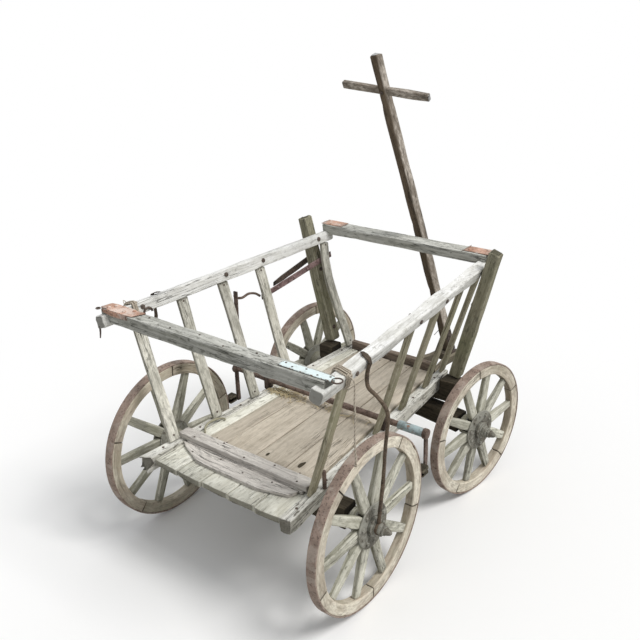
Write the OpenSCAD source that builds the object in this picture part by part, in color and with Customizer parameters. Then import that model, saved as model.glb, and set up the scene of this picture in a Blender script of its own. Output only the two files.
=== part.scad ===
// Weathered ladder-sided hand cart: four spoked wooden wheels, a tapering bed between two
// ladder sides, a steered front axle and a hinged drawbar with a cross handle.
// +X points to the drawbar, +Y to the cart's left, +Z up; the wheels stand on z = 0.

/* [Wheels] */
// Diameter of the rear wheels over the tyre
rear_wheel_d = 550; // [500:10:560]
// Diameter of the front wheels over the tyre
front_wheel_d = 490; // [450:10:500]
// Width of the tyre and the rim
rim_w = 32; // [28:1:36]
// Number of spokes in each wheel
spoke_count = 10; // [8:1:12]
// Distance from the cart's centre plane to the middle of each rim
half_track = 414; // [410:1:430]
// Distance between the rear and the front axle
wheelbase = 744; // [730:1:760]

/* [Bed] */
// Height of the lower floor's top above the ground
floor_z = 356; // [352:1:362]
// Half width of the bed over its side rails at the rear end
bed_half_w = 298; // [290:1:300]
// Length of the bed's side rails
bed_l = 1035; // [1020:1:1050]
// How far each side turns inwards towards the front, in degrees
bed_taper = 4.2; // [3.5:0.1:4.4]
// How far each ladder side leans outwards, in degrees
ladder_lean = 17; // [15:0.5:18]
// Height of the middle of the top rails above the ground
top_rail_z = 796; // [780:1:810]

/* [Drawbar] */
// Height of the drawbar's hinge pin above the ground
hinge_z = 258; // [255:1:260]
// Distance of the hinge pin ahead of the front axle
hinge_reach = 402; // [395:1:410]
// How far the parked drawbar leans back from the vertical, in degrees
drawbar_lean = 20.5; // [17:0.5:21]
// Length of the drawbar from the hinge pin to its top end
drawbar_l = 1325; // [1200:5:1330]
// Length of the cross handle
handle_l = 370; // [320:10:420]
// How far the parked front axle and drawbar are turned to the right, in degrees
parked_turn = 8; // [0:1:10]

/* [Hidden] */

$fn = 48;

// Running fit of a wheel on its axle arm and of the pins in their holes
run_gap = 0.05;
// Gap between flat faces that turn over each other
face_gap = 0.6;

rear_r = rear_wheel_d / 2;
front_r = front_wheel_d / 2;
tyre_t = 5;
felloe_t = 37;
spoke_t = 22;
spoke_end_w = 28;
nave_r = 36;
nave_in = 52;
arm_r = 12.5;
plate_r = 72;
plate_t = 6;
boss_r = 30;
boss_l = 10;
axle_tip = 79;

// The bed in side view
bed_rear_x = -212;
bed_front_x = bed_rear_x + bed_l;
rail_w = 38;
rail_h = 50;
rail_top_z = floor_z + 10;
board_t = 22;
board_z = floor_z - board_t;
tray_t = 14;

// The ladder sides, in a frame of their own whose Z runs up the slats
slat_w = 40;
slat_t = 14;
top_rail_h = 42;
top_rail_overhang = 18;
ladder_y = bed_half_w - rail_w / 2;
lean_l = (top_rail_z - rail_top_z) / cos(ladder_lean);
left_slats = [105, 292, 470, 650, 1002];
right_slats = [134, 512, 692, 872, 1010];

// Cross bars
bar_h = 44;
bar_z = top_rail_z + 38 - bar_h;
rear_bar_x = -200;
rear_bar_d = 48;
rear_bar_half_l = 425;
front_bar_x = 812;
front_bar_d = 64;
front_bar_h = 36;
front_bar_half_l = 350;

// Axle beams, bolster and turntable
rear_beam_d = 62;
rear_beam_bottom = rear_r - 34;
beam_half_l = half_track - nave_in - 12;
front_beam_d = 64;
plate_z = front_r + 32;
turn_plate_t = 8;
turn_plate_r = 92;
bolster_z = plate_z + 2 * turn_plate_t + face_gap;
bolster_half_l = 306;
kingpin_r = 11;

// Stakes
stake_x = 768;
stake_s = 44;
stake_top_z = 876;
stake_lean = 14.5;
stake_foot_y = 277;
stake_foot_z = 377;

// Drawbar
hinge_x = wheelbase + hinge_reach;
pole_s = 38;
handle_h = 28;
handle_t = 20;
handle_tilt = 3;
pin_r = 9;
knuckle_r = 24;
strap_t = 3;
handle_back = 131;
fork_in = 27;
fork_t = 16;
fork_h = 34;
fork_rear_y = 96;

// Everything is built about the rear axle and moved so that the origin is under the middle
length_ahead = wheelbase + (hinge_reach + knuckle_r) * cos(parked_turn)
    + (pole_s / 2 + strap_t) * sin(parked_turn);
x_shift = (rear_r - length_ahead) / 2;

wood = "#a39c88";
pale_wood = "#b9b5a6";
dark_wood = "#6b5a48";
rust = "#7d4a38";
iron = "#4c4a48";
blue_iron = "#9fb6bd";

// Brings the whole cart over the origin
module placed() {
    translate([x_shift, 0, 0]) children();
}

// Turns what is built straight ahead about the kingpin, as the front carriage is parked
module on_carriage() {
    placed() translate([wheelbase, 0, 0]) rotate([0, 0, -parked_turn])
        translate([-wheelbase, 0, 0]) children();
}

module left_and_right() {
    children();
    mirror([0, 1, 0]) children();
}

// Frame of the left ladder: origin on the bed rail's top at its rear end
module left_ladder() {
    translate([bed_rear_x, ladder_y, rail_top_z])
        rotate([0, 0, -bed_taper])
            rotate([-ladder_lean, 0, 0]) children();
}

// Frame of the left bed rail: level, turned inwards with the taper
module left_bed() {
    translate([bed_rear_x, bed_half_w, 0]) rotate([0, 0, -bed_taper]) children();
}

// A bar along X with its four long edges cut back
module chamfered_bar(l, w, h, c) {
    rotate([90, 0, 90])
        linear_extrude(l)
            polygon([[-w / 2 + c, -h / 2], [w / 2 - c, -h / 2], [w / 2, -h / 2 + c],
                     [w / 2, h / 2 - c], [w / 2 - c, h / 2], [-w / 2 + c, h / 2],
                     [-w / 2, h / 2 - c], [-w / 2, -h / 2 + c]]);
}

// Half width of the space between the bed rails at a place along the cart
function inner_half_w(x) = bed_half_w - rail_w / cos(bed_taper) - 2
    - (x - bed_rear_x) * tan(bed_taper);

// Boards side by side along the bed, as many strips of one tapering panel
module boards(x0, x1, z, t, seams, inset) {
    y0 = inner_half_w(x0) - inset;
    y1 = inner_half_w(x1) - inset;
    gap = 3;
    translate([0, 0, z])
        linear_extrude(t)
            difference() {
                polygon([[x0, -y0], [x1, -y1], [x1, y1], [x0, y0]]);
                for (s = seams)
                    translate([x0 - 1, s * y0 - gap / 2])
                        polygon([[0, 0], [x1 - x0 + 2, s * (y1 - y0)],
                                 [x1 - x0 + 2, s * (y1 - y0) + gap], [0, gap]]);
            }
}

module floor_boards() {
    placed() color(wood)
        difference() {
            boards(bed_rear_x, bed_front_x - 60, board_z, board_t, [-0.62, -0.22, 0.2, 0.6], 0);
            // The edge of one board has broken away
            translate([bed_rear_x - 1, inner_half_w(bed_rear_x) * 0.6 - 10, board_z - 1])
                cube([16, 26, board_t + 2]);
        }
}

tray_rear_x = -38;
module tray_boards() {
    placed() color(pale_wood)
        boards(tray_rear_x, bed_front_x - 62, floor_z, tray_t, [-0.52, -0.02, 0.5], 3);
}

// The left rail's rear end has split away to a ragged point
module bed_rails() {
    placed() color(pale_wood) {
        difference() {
            left_bed()
                translate([-26, -rail_w, rail_top_z - rail_h])
                    cube([bed_l + 26, rail_w, rail_h]);
            left_bed()
                translate([-27, -rail_w - 1, rail_top_z - rail_h - 1]) {
                    cube([20, 16, rail_h + 2]);
                    translate([-1, 10, 26]) cube([48, rail_w, rail_h]);
                    translate([-1, 30, -1]) cube([34, rail_w, rail_h]);
                }
        }
        mirror([0, 1, 0])
            left_bed()
                translate([0, -rail_w, rail_top_z - rail_h])
                    cube([bed_l, rail_w, rail_h]);
    }
}

batten_x = -88;
module floor_battens() {
    batten_w = 50;
    half_l = inner_half_w(batten_x + batten_w) - 1;
    placed() color(dark_wood) {
        translate([batten_x, -half_l, floor_z]) cube([batten_w, 2 * half_l - 6, 32]);
        // Its ends lie over the bed rails, beside the rearmost slats
        translate([batten_x + 2.5, -half_l - 17, rail_top_z + 0.5])
            cube([batten_w - 2.5, 2 * half_l + 53, floor_z + 32 - rail_top_z - 0.5]);
    }
    placed() color(wood)
        translate([batten_x - 1, 0, floor_z])
            linear_extrude(13)
                polygon([[0, half_l], [-22, half_l - 30], [-60, half_l - 120],
                         [-60, 130 - half_l], [-34, 34 - half_l], [0, 14 - half_l]]);
}

module front_board() {
    half_l = inner_half_w(bed_front_x - 36) - 1;
    placed() color(dark_wood)
        translate([bed_front_x - 58, -half_l, board_z]) cube([22, 2 * half_l, board_t + 44]);
}

// The slats stand on the bed rail on the lower edge of their slanting feet
module ladder_side(places) {
    foot = slat_t / 2 * tan(ladder_lean) + 0.1;
    left_ladder()
        for (u = places)
            translate([u - slat_w / 2, -slat_t / 2, foot])
                cube([slat_w, slat_t, lean_l - top_rail_h / 2 - foot]);
}

module ladder_slats() {
    placed() color(wood) {
        ladder_side(left_slats);
        mirror([0, 1, 0]) ladder_side(right_slats);
    }
}

module left_top_rail() {
    left_ladder()
        translate([-top_rail_overhang, 0, lean_l])
            chamfered_bar(bed_l + 28, 40, top_rail_h, 6);
}

module top_rails() {
    placed() color(pale_wood) left_and_right() left_top_rail();
}

module left_stake() {
    foot = stake_s / 2 * tan(stake_lean) + 0.1;
    stake_l = (stake_top_z - stake_foot_z) / cos(stake_lean);
    translate([stake_x, stake_foot_y, stake_foot_z])
        rotate([0, 0, -bed_taper])
            rotate([-stake_lean, 0, 0])
                translate([-stake_s / 2, -stake_s / 2, foot])
                    cube([stake_s, stake_s, stake_l - foot]);
}

module stakes() {
    placed() color(dark_wood)
        difference() {
            left_and_right() left_stake();
            left_and_right() left_top_rail();
            front_bar_blank();
        }
}

module rear_crossbar() {
    placed() color(wood)
        difference() {
            translate([rear_bar_x, -rear_bar_half_l, bar_z])
                cube([rear_bar_d, 2 * rear_bar_half_l, bar_h]);
            left_and_right() left_top_rail();
            // A piece has broken out of the underside
            translate([rear_bar_x - 1, -228, bar_z - 1]) cube([20, 46, 13]);
        }
}

module front_bar_blank() {
    translate([front_bar_x, -front_bar_half_l, bar_z + 8 + bar_h - front_bar_h])
        cube([front_bar_d, 2 * front_bar_half_l, front_bar_h]);
}

module front_crossbar() {
    placed() color(wood)
        difference() {
            front_bar_blank();
            left_and_right() left_top_rail();
        }
}

// ---- Axles, bolster and turntable ----

// Axle arm on the left side: shoulder, arm, washer, hex nut, and a nose past the hub. The
// rear one leaves room for the stay's eye between the washer and the nut
module axle_arm(y0, collar) {
    y_boss = half_track + spoke_t / 2 + plate_t + boss_l;
    nut_y = collar ? 3.6 : 12.8;
    rotate([-90, 0, 0]) {
        translate([0, 0, y0]) cylinder(h = half_track - nave_in - 1 - y0, r = 20);
        translate([0, 0, y0]) cylinder(h = half_track + axle_tip - 12 - y0, r = arm_r);
        translate([0, 0, y_boss + 0.6]) cylinder(h = 3, r = collar ? 24 : 19.4);
        translate([0, 0, y_boss + nut_y]) cylinder(h = 11, r = 21, $fn = 6);
        if (collar)
            translate([0, 0, y_boss + 14.6]) cylinder(h = 9, r = 18);
        translate([0, 0, y_boss + 24]) cylinder(h = 8, r = 17, $fn = 6);
        translate([0, 0, y_boss + 32]) cylinder(h = half_track + axle_tip - y_boss - 32, r1 = 13, r2 = 6);
    }
}

module rear_axle_iron() {
    placed() color(iron)
        left_and_right() translate([0, 0, rear_r]) axle_arm(beam_half_l, false);
}

module rear_axle_beam() {
    under_rail = rail_top_z - rail_h;
    placed() color(dark_wood) {
        translate([-rear_beam_d / 2, -beam_half_l, rear_beam_bottom])
            cube([rear_beam_d, 2 * beam_half_l, under_rail - rear_beam_bottom]);
        translate([-rear_beam_d / 2, 14 - inner_half_w(0), under_rail])
            cube([rear_beam_d, 2 * inner_half_w(0) - 28, board_z - under_rail]);
    }
}

module reach_pole() {
    x0 = rear_beam_d / 2;
    x1 = wheelbase - front_beam_d / 2;
    placed() color(dark_wood)
        translate([x0, -24, bolster_z]) cube([x1 - x0, 48, rail_top_z - rail_h - bolster_z - 1]);
}

// The bolster carries the bed's front and, on its raised ends, the stakes
module front_bolster() {
    d = front_beam_d;
    placed() color(dark_wood)
        translate([wheelbase, 0, 0]) {
            translate([-d / 2, -bolster_half_l, bolster_z])
                cube([d, 2 * bolster_half_l, rail_top_z - rail_h - bolster_z]);
            left_and_right()
                translate([-d / 2, 242, rail_top_z - rail_h])
                    cube([d, bolster_half_l - 242, stake_foot_z - rail_top_z + rail_h]);
            translate([-d / 2, -180, rail_top_z - rail_h])
                cube([d, 360, board_z - rail_top_z + rail_h]);
        }
}

module turntable_upper() {
    placed() color(rust)
        translate([wheelbase, 0, 0]) {
            translate([0, 0, bolster_z - turn_plate_t]) cylinder(h = turn_plate_t, r = turn_plate_r);
            translate([0, 0, plate_z - 80]) cylinder(h = bolster_z - plate_z + 80 - 1, r = kingpin_r);
            translate([0, 0, plate_z - front_beam_d - face_gap - 14])
                cylinder(h = 14, r = 20, $fn = 6);
        }
}

module turntable_lower() {
    on_carriage() color(rust)
        translate([wheelbase, 0, plate_z])
            difference() {
                cylinder(h = turn_plate_t, r = turn_plate_r);
                translate([0, 0, -1]) cylinder(h = turn_plate_t + 2, r = kingpin_r + run_gap);
            }
}

module front_axle_beam() {
    on_carriage() color(dark_wood)
        translate([wheelbase, 0, plate_z - front_beam_d])
            difference() {
                translate([-front_beam_d / 2, -beam_half_l, 0])
                    cube([front_beam_d, 2 * beam_half_l, front_beam_d]);
                translate([0, 0, -1]) cylinder(h = front_beam_d + 2, r = kingpin_r + run_gap);
            }
}

module front_axle_iron() {
    on_carriage() color(iron)
        left_and_right() translate([wheelbase, 0, front_r]) axle_arm(beam_half_l, true);
}

// ---- Wheels ----

// Puts a wheel, built about the origin with its hub's nose along +Y, in one of four places
module rear_wheel_at(left) {
    placed()
        mirror([0, left ? 0 : 1, 0])
            translate([0, half_track, rear_r])
                rotate([-90, left ? -12 : 18, 0]) children();
}

module front_wheel_at(left) {
    on_carriage()
        mirror([0, left ? 0 : 1, 0])
            translate([wheelbase, half_track, front_r])
                rotate([-90, left ? -15 : -22, 0]) children();
}

module ring(r_out, r_in, h) {
    difference() {
        cylinder(h = h, r = r_out, $fn = 96);
        translate([0, 0, -1]) cylinder(h = h + 2, r = r_in, $fn = 96);
    }
}

module tyre(r) {
    color(rust) translate([0, 0, -rim_w / 2]) ring(r, r - tyre_t, rim_w);
}

// One felloe for every two spokes, with open joints between them
module felloes(r) {
    felloe_count = spoke_count / 2;
    color(wood)
        difference() {
            translate([0, 0, -rim_w / 2]) ring(r - tyre_t, r - tyre_t - felloe_t, rim_w);
            for (i = [0 : felloe_count - 1])
                rotate([0, 0, i * 360 / felloe_count])
                    translate([0, -0.6, -rim_w]) cube([r, 1.2, 2 * rim_w]);
        }
}

// Outline of one spoke, lying along +X: broadest at the hub plates' edge
module spoke_outline(end_r) {
    polygon([[nave_r - 8, -7], [plate_r - 8, -18], [end_r, -spoke_end_w / 2],
             [end_r, spoke_end_w / 2], [plate_r - 8, 18], [nave_r - 8, 7]]);
}

// Tapered spokes about a plain round nave
module spokes(r) {
    end_r = sqrt(pow(r - tyre_t - felloe_t, 2) - pow(spoke_end_w / 2, 2)) - 0.1;
    color(wood) {
        translate([0, 0, -spoke_t / 2])
            linear_extrude(spoke_t)
                difference() {
                    union() {
                        circle(r = nave_r + 4);
                        for (i = [0 : spoke_count - 1])
                            rotate((i + 0.5) * 360 / spoke_count) spoke_outline(end_r);
                    }
                    circle(r = arm_r + run_gap);
                }
        translate([0, 0, -nave_in]) ring(nave_r, arm_r + run_gap, nave_in - spoke_t / 2);
    }
}

// Outer hub plate with its boss, and the plain ring plate on the inner side
module hub_plates() {
    color(iron) {
        translate([0, 0, spoke_t / 2])
            difference() {
                union() {
                    cylinder(h = plate_t, r = plate_r);
                    cylinder(h = plate_t + boss_l, r = boss_r);
                }
                translate([0, 0, -1]) cylinder(h = plate_t + boss_l + 2, r = arm_r + run_gap);
            }
        translate([0, 0, -spoke_t / 2 - plate_t]) ring(plate_r - 6, nave_r, plate_t);
    }
}

// ---- Fork and drawbar ----

module left_fork_arm() {
    x0 = wheelbase + front_beam_d / 2;
    difference() {
        union() {
            translate([0, 0, hinge_z - fork_h / 2])
                linear_extrude(fork_h)
                    polygon([[x0, fork_rear_y], [hinge_x - 90, fork_in], [hinge_x, fork_in],
                             [hinge_x, fork_in + fork_t], [hinge_x - 84, fork_in + fork_t],
                             [x0, fork_rear_y + fork_t + 6]]);
            translate([hinge_x, fork_in, hinge_z])
                rotate([-90, 0, 0]) cylinder(h = fork_t, r = fork_h / 2);
        }
        translate([hinge_x, 0, hinge_z])
            rotate([-90, 0, 0]) cylinder(h = fork_in + fork_t + 1, r = pin_r);
    }
}

// Two arms from the axle beam, and the cross piece that the parked drawbar leans on
module fork_arms() {
    stop_l = 24;
    on_carriage() color(dark_wood) {
        left_and_right() left_fork_arm();
        translate([hinge_x - 29 - stop_l, -fork_in, hinge_z - fork_h / 2])
            cube([stop_l, 2 * fork_in, fork_h]);
    }
}

module hinge_pin() {
    half_l = fork_in + fork_t;
    on_carriage() color(iron)
        translate([hinge_x, 0, hinge_z])
            rotate([-90, 0, 0]) {
                translate([0, 0, -half_l]) cylinder(h = 2 * half_l, r = pin_r);
                translate([0, 0, half_l]) cylinder(h = 8, r = 16, $fn = 6);
                translate([0, 0, -half_l - 6]) cylinder(h = 6, r = 16);
            }
}

// Frame of the parked drawbar: origin on the hinge pin, Z up the pole
module on_drawbar() {
    on_carriage() translate([hinge_x, 0, hinge_z]) rotate([0, -drawbar_lean, 0]) children();
}

module drawbar_pole() {
    on_drawbar() color(dark_wood)
        difference() {
            union() {
                translate([-pole_s / 2, -pole_s / 2, 0]) cube([pole_s, pole_s, drawbar_l]);
                translate([0, -pole_s / 2, 0]) rotate([-90, 0, 0]) cylinder(h = pole_s, r = pole_s / 2);
            }
            translate([0, -pole_s, 0])
                rotate([-90, 0, 0]) cylinder(h = 2 * pole_s, r = pin_r + run_gap);
            handle_bar(0.2, 2 * pole_s);
        }
}

// The cross handle, a little askew in the pole; clear widens it into the hole that it sits in
module handle_bar(clear, l) {
    translate([0, 0, drawbar_l - handle_back])
        rotate([handle_tilt, 0, 0])
            cube([handle_t + 2 * clear, l, handle_h + 2 * clear], center = true);
}

module drawbar_handle() {
    on_drawbar() color(dark_wood) handle_bar(0, handle_l);
}

module drawbar_irons() {
    strap_l = 130;
    on_drawbar() color(iron)
        left_and_right()
            translate([0, pole_s / 2, 0])
                rotate([-90, 0, 0])
                    difference() {
                        union() {
                            cylinder(h = strap_t, r = knuckle_r);
                            translate([-15, -strap_l, 0]) cube([30, strap_l, strap_t]);
                        }
                        translate([0, 0, -1]) cylinder(h = strap_t + 2, r = pin_r + run_gap);
                    }
}

// ---- Brake: a cross shaft with a hanger and a block at each end, worked from the left side ----

brake_x = 336;
brake_z = 402;
brake_shaft_r = 11;
brake_half_l = 398;

module brake_shaft() {
    placed() color(rust)
        translate([brake_x, -brake_half_l, brake_z])
            rotate([-90, 0, 0]) cylinder(h = 2 * brake_half_l, r = brake_shaft_r);
}

module brake_sleeve() {
    placed() color(blue_iron)
        translate([brake_x, -brake_half_l, brake_z])
            rotate([-90, 0, 0]) ring(15, brake_shaft_r, 92);
}

module brake_hangers() {
    placed() color(rust)
        left_and_right()
            translate([brake_x, brake_half_l, brake_z]) {
                rotate([-90, 0, 0]) cylinder(h = 16, r = 18);
                translate([-11, 3, -136]) cube([22, 10, 124]);
            }
}

module brake_blocks() {
    placed() color(wood)
        difference() {
            left_and_right()
                translate([brake_x - 75, half_track - rim_w / 2, brake_z - 134])
                    cube([64, rim_w, 36]);
            translate([0, -500, rear_r]) rotate([-90, 0, 0]) cylinder(h = 1000, r = rear_r + 6);
        }
}

// ---- Bars and rods between given points ----

function step(p, q) = q - p;
function yaw(d) = atan2(d.y, d.x);
function pitch(d) = asin(d.z / norm(d));

// A flat bar standing on edge from p to q
module flat_bar(p, q, w, t) {
    d = step(p, q);
    translate(p)
        rotate([0, -pitch(d), yaw(d)])
            translate([0, -t / 2, -w / 2]) cube([norm(d), t, w]);
}

// A round rod or cord through a list of points: one ring of corners at each point
function unit(v) = v / norm(v);
function way(route, i) = unit(route[min(i + 1, len(route) - 1)] - route[max(i - 1, 0)]);
function side_of(route, i) = unit(cross(way(route, i), [0.8, 0.1, -0.6]));
function ring_at(route, i, r, n) = [for (k = [0 : n - 1])
    route[i] + r * (cos(k * 360 / n) * side_of(route, i)
        + sin(k * 360 / n) * cross(way(route, i), side_of(route, i)))];

module tube(route, r, n = 8) {
    last = len(route) - 1;
    points = [for (i = [0 : last]) each ring_at(route, i, r, n)];
    walls = [for (i = [0 : last - 1], k = [0 : n - 1])
        [i * n + k, (i + 1) * n + k, (i + 1) * n + (k + 1) % n, i * n + (k + 1) % n]];
    foot = [for (k = [0 : n - 1]) k];
    top = [for (k = [0 : n - 1]) last * n + n - 1 - k];
    polyhedron(points, concat(walls, [foot], [top]));
}

// Upright arm at the shaft's left end
module brake_arm() {
    placed() color(rust)
        flat_bar([brake_x - 2, brake_half_l - 14, brake_z + 12],
                 [brake_x - 4, brake_half_l - 24, brake_z + 320], 20, 7);
}

// Bent rod from the arm's top to the strap's rear end
module brake_rod() {
    placed() color(rust)
        tube([[339, 370, 690], [352, 361, 690], [376, 353, 698], [402, 347.5, 692],
              [424.2, 343.5, 676]], 5);
}

// Flat strap along the outer side of the ladder, ending between the last slat and the stake
module brake_strap() {
    placed() color(rust) flat_bar([428, 340.4, 669], [842, 330, 716.4], 24, 4);
}

module brake_lever() {
    placed() color(iron) flat_bar([556, 396, 664], [860, 399.2, 712], 26, 8);
}

// ---- Stays, straps and small irons ----

// Rod from the top rail, bowed out past the wheel, to an eye on the axle's end
module left_stay() {
    eye_y = half_track + spoke_t / 2 + plate_t + boss_l + 3.9;
    route = [[0, 424, 800], [0, 415.5, 771], [0, 414, 742], [0, 420, 724], [0, 442, 710], [0, 464, 692],
             [0, 477, 672], [0, 480, 642], [0, 471, 544], [0, 465, 450],
             [0, eye_y + 4.3, rear_r + 19.6]];
    tube(route, 6);
    translate([0, eye_y, rear_r])
        rotate([-90, 0, 0]) ring(20, arm_r, 8.6);
}

module stay_rods() {
    placed() color(rust) left_and_right() left_stay();
}

// Rusty plates over three of the corners, where the cross bars lie on the rails
module corner_straps() {
    top = bar_z + bar_h;
    placed() color(rust) {
        translate([0, 0, top])
            linear_extrude(3)
                polygon([[rear_bar_x, 300], [rear_bar_x + 46, 268], [rear_bar_x + 46, 404],
                         [rear_bar_x, rear_bar_half_l]]);
        translate([rear_bar_x - 8, rear_bar_half_l - 2, top]) ring(11, 5, 5);
        left_and_right()
            translate([front_bar_x + 6, front_bar_half_l - 92, top + 8])
                cube([front_bar_d - 10, 102, 3]);
    }
}

// Long bright strap on the rear bar's right end, with a loose ring welded to it
module ring_strap() {
    top = bar_z + bar_h;
    placed() color(blue_iron) {
        translate([rear_bar_x + 8, -rear_bar_half_l - 16, top]) cube([28, 170, 3]);
        translate([rear_bar_x + 22, -rear_bar_half_l - 24, top + 1.5])
            rotate_extrude(angle = 360) translate([15, 0]) circle(r = 2.5, $fn = 16);
    }
}

// Turns of old cord round a top rail near its rear end
module turns_of_cord() {
    left_ladder()
        for (i = [0 : 2])
            translate([92 + 8 * i, 0, lean_l]) chamfered_bar(7, 52, top_rail_h + 12, 10);
}

// What the turns lie round: the rail and the slat below it
module bound_rail() {
    left_ladder() translate([70, 0, lean_l]) chamfered_bar(60, 40, top_rail_h, 6);
    left_ladder() translate([60, -slat_t / 2 - 1, 0]) cube([66, slat_t + 2, lean_l]);
}

module rail_binding() {
    placed() color(pale_wood)
        difference() {
            turns_of_cord();
            bound_rail();
        }
}

module rail_hook() {
    placed() color(iron)
        left_ladder()
            translate([142, -24, lean_l - 22])
                rotate([90, 0, 0]) rotate_extrude(angle = 200) translate([15, 0]) circle(r = 4, $fn = 16);
}

// Bearings of the brake shaft on the bed rails, a hold-down on the left, a peg on the right
module bed_irons() {
    bearing_y = 240;
    placed() color(rust)
        difference() {
            union() {
                left_and_right()
                    translate([brake_x - 15, bearing_y, rail_top_z]) cube([30, 18, 52]);
                translate([-34, -284, rail_top_z]) cylinder(h = 62, r = 7);
            }
            translate([brake_x, -300, brake_z])
                rotate([-90, 0, 0]) cylinder(h = 600, r = brake_shaft_r);
        }
}

// ---- Loose cord ----

cord_r = 2.5;
cord_sides = 8;
// Where the cord runs: out of its knot on the right rail, over its edge and straight down
cord_route = [[-104, -438, 806], [-104, -443, 803], [-104, -447, 797], [-105, -449, 788],
              [-106, -449, 776], [-107, -449, 760], [-107, -448, 744], [-106, -448, 728],
              [-105, -448, 712], [-104, -448, 696], [-104, -447, 680], [-105, -447, 664],
              [-106, -447, 648], [-107, -447, 632], [-107, -447, 616], [-106, -447, 600],
              [-105, -447, 584], [-104, -447, 568], [-104, -447, 556]];

module hanging_cord() {
    placed() color(pale_wood) tube(cord_route, cord_r, cord_sides);
}

// A round knot of length l ending in the point p, its axis along the direction d
module knot(p, d, r, l) {
    translate(p) rotate([0, acos(d.z), atan2(d.y, d.x)]) translate([0, 0, -l]) cylinder(h = l, r = r);
}

// The turns that hold the loose cord on the right rail, and its knot
module cord_binding() {
    placed() color(pale_wood)
        difference() {
            union() {
                mirror([0, 1, 0]) turns_of_cord();
                knot(cord_route[0], way(cord_route, 0), 7, 11);
            }
            mirror([0, 1, 0]) bound_rail();
        }
}

// Knot at the cord's lower end
module cord_end() {
    end = len(cord_route) - 1;
    placed() color(pale_wood)
        knot(cord_route[end] + 11 * way(cord_route, end), way(cord_route, end), 5, 11);
}

floor_boards();
tray_boards();
bed_rails();
floor_battens();
front_board();
ladder_slats();
top_rails();
stakes();
rear_crossbar();
front_crossbar();
corner_straps();
ring_strap();
rear_axle_beam();
rear_axle_iron();
stay_rods();
reach_pole();
front_bolster();
turntable_upper();
brake_shaft();
brake_sleeve();
brake_hangers();
brake_blocks();
brake_arm();
brake_rod();
brake_strap();
brake_lever();
rail_binding();
rail_hook();
bed_irons();
cord_binding();
hanging_cord();
cord_end();
turntable_lower();
front_axle_beam();
front_axle_iron();
fork_arms();
hinge_pin();
drawbar_pole();
drawbar_handle();
drawbar_irons();
rear_wheel_at(true) tyre(rear_r);  // tyre_rear_left
rear_wheel_at(true) felloes(rear_r);  // felloes_rear_left
rear_wheel_at(true) spokes(rear_r);  // spokes_rear_left
rear_wheel_at(true) hub_plates();  // hub_plates_rear_left
rear_wheel_at(false) tyre(rear_r);  // tyre_rear_right
rear_wheel_at(false) felloes(rear_r);  // felloes_rear_right
rear_wheel_at(false) spokes(rear_r);  // spokes_rear_right
rear_wheel_at(false) hub_plates();  // hub_plates_rear_right
front_wheel_at(true) tyre(front_r);  // tyre_front_left
front_wheel_at(true) felloes(front_r);  // felloes_front_left
front_wheel_at(true) spokes(front_r);  // spokes_front_left
front_wheel_at(true) hub_plates();  // hub_plates_front_left
front_wheel_at(false) tyre(front_r);  // tyre_front_right
front_wheel_at(false) felloes(front_r);  // felloes_front_right
front_wheel_at(false) spokes(front_r);  // spokes_front_right
front_wheel_at(false) hub_plates();  // hub_plates_front_right
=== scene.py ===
# %% [markdown]
# # A weathered ladder cart, made in Blender on a fixed frame
# The cart's joints, sizes and collision already exist as a imported CAD model. This lesson gives it
# its looks: worn timbers, rusty straps, a twisted cord and dry, bleached wood. Every cell below
# makes one thing. We never move a CAD part: we make a finer piece in the very same place and hide
# the CAD parts it stands for.

# %% Load the frame
import bpy
import math
import numpy as np
from mathutils import Matrix, Vector


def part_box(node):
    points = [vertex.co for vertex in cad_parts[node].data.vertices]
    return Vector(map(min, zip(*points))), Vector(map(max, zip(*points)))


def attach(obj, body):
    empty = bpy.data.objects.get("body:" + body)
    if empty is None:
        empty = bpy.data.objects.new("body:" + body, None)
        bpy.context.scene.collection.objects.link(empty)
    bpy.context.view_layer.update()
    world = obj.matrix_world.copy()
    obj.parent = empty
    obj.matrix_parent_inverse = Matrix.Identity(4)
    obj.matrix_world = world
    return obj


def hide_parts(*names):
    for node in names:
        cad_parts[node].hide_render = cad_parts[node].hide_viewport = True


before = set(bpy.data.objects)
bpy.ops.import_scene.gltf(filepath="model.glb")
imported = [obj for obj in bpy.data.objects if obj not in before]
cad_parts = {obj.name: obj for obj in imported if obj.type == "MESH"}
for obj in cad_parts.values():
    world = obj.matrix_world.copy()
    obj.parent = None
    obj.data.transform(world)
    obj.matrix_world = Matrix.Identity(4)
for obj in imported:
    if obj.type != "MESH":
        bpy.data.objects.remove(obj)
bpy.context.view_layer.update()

# %% [markdown]
# ## Measuring from the rear axle
# A cartwright measures from the rear axle, in millimetres: forward, to the left, and up from the
# ground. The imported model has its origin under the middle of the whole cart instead. The rear
# tyre's own box tells us where the axle is, so one small function turns the maker's millimetres
# into the model's metres.

# %% From the maker's millimetres to metres
tyre_low, tyre_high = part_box("tyre_rear_left")
AXLE_X = (tyre_low.x + tyre_high.x) / 2
WHEELBASE, HALF_TRACK = 744.0, 414.0
REAR_R, FRONT_R = 275.0, 245.0
PARKED_TURN = math.radians(8)
MM = 0.001


def to_metres(points):
    """Millimetres from the rear axle, as an array of (x, y, z), to metres in the model's frame."""
    return np.asarray(points, float) * MM + [AXLE_X, 0, 0]


def turned(points):
    """Turns points about the upright kingpin by the angle at which the front axle is parked."""
    p = np.asarray(points, float) - [WHEELBASE, 0, 0]
    c, s = math.cos(PARKED_TURN), math.sin(PARKED_TURN)
    x, y = p[..., 0] * c + p[..., 1] * s, -p[..., 0] * s + p[..., 1] * c
    return np.stack([x + WHEELBASE, y, p[..., 2]], -1)


print("rear axle at x =", round(AXLE_X, 4))

# %% [markdown]
# ## The camera
# We look from behind and from the cart's right, a little above the handle of a tall barrow: about
# as high as a grown person's eyes. The camera is placed by three angles. Its three axes are worked
# out first: to the right, up, and back towards the viewer.

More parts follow.
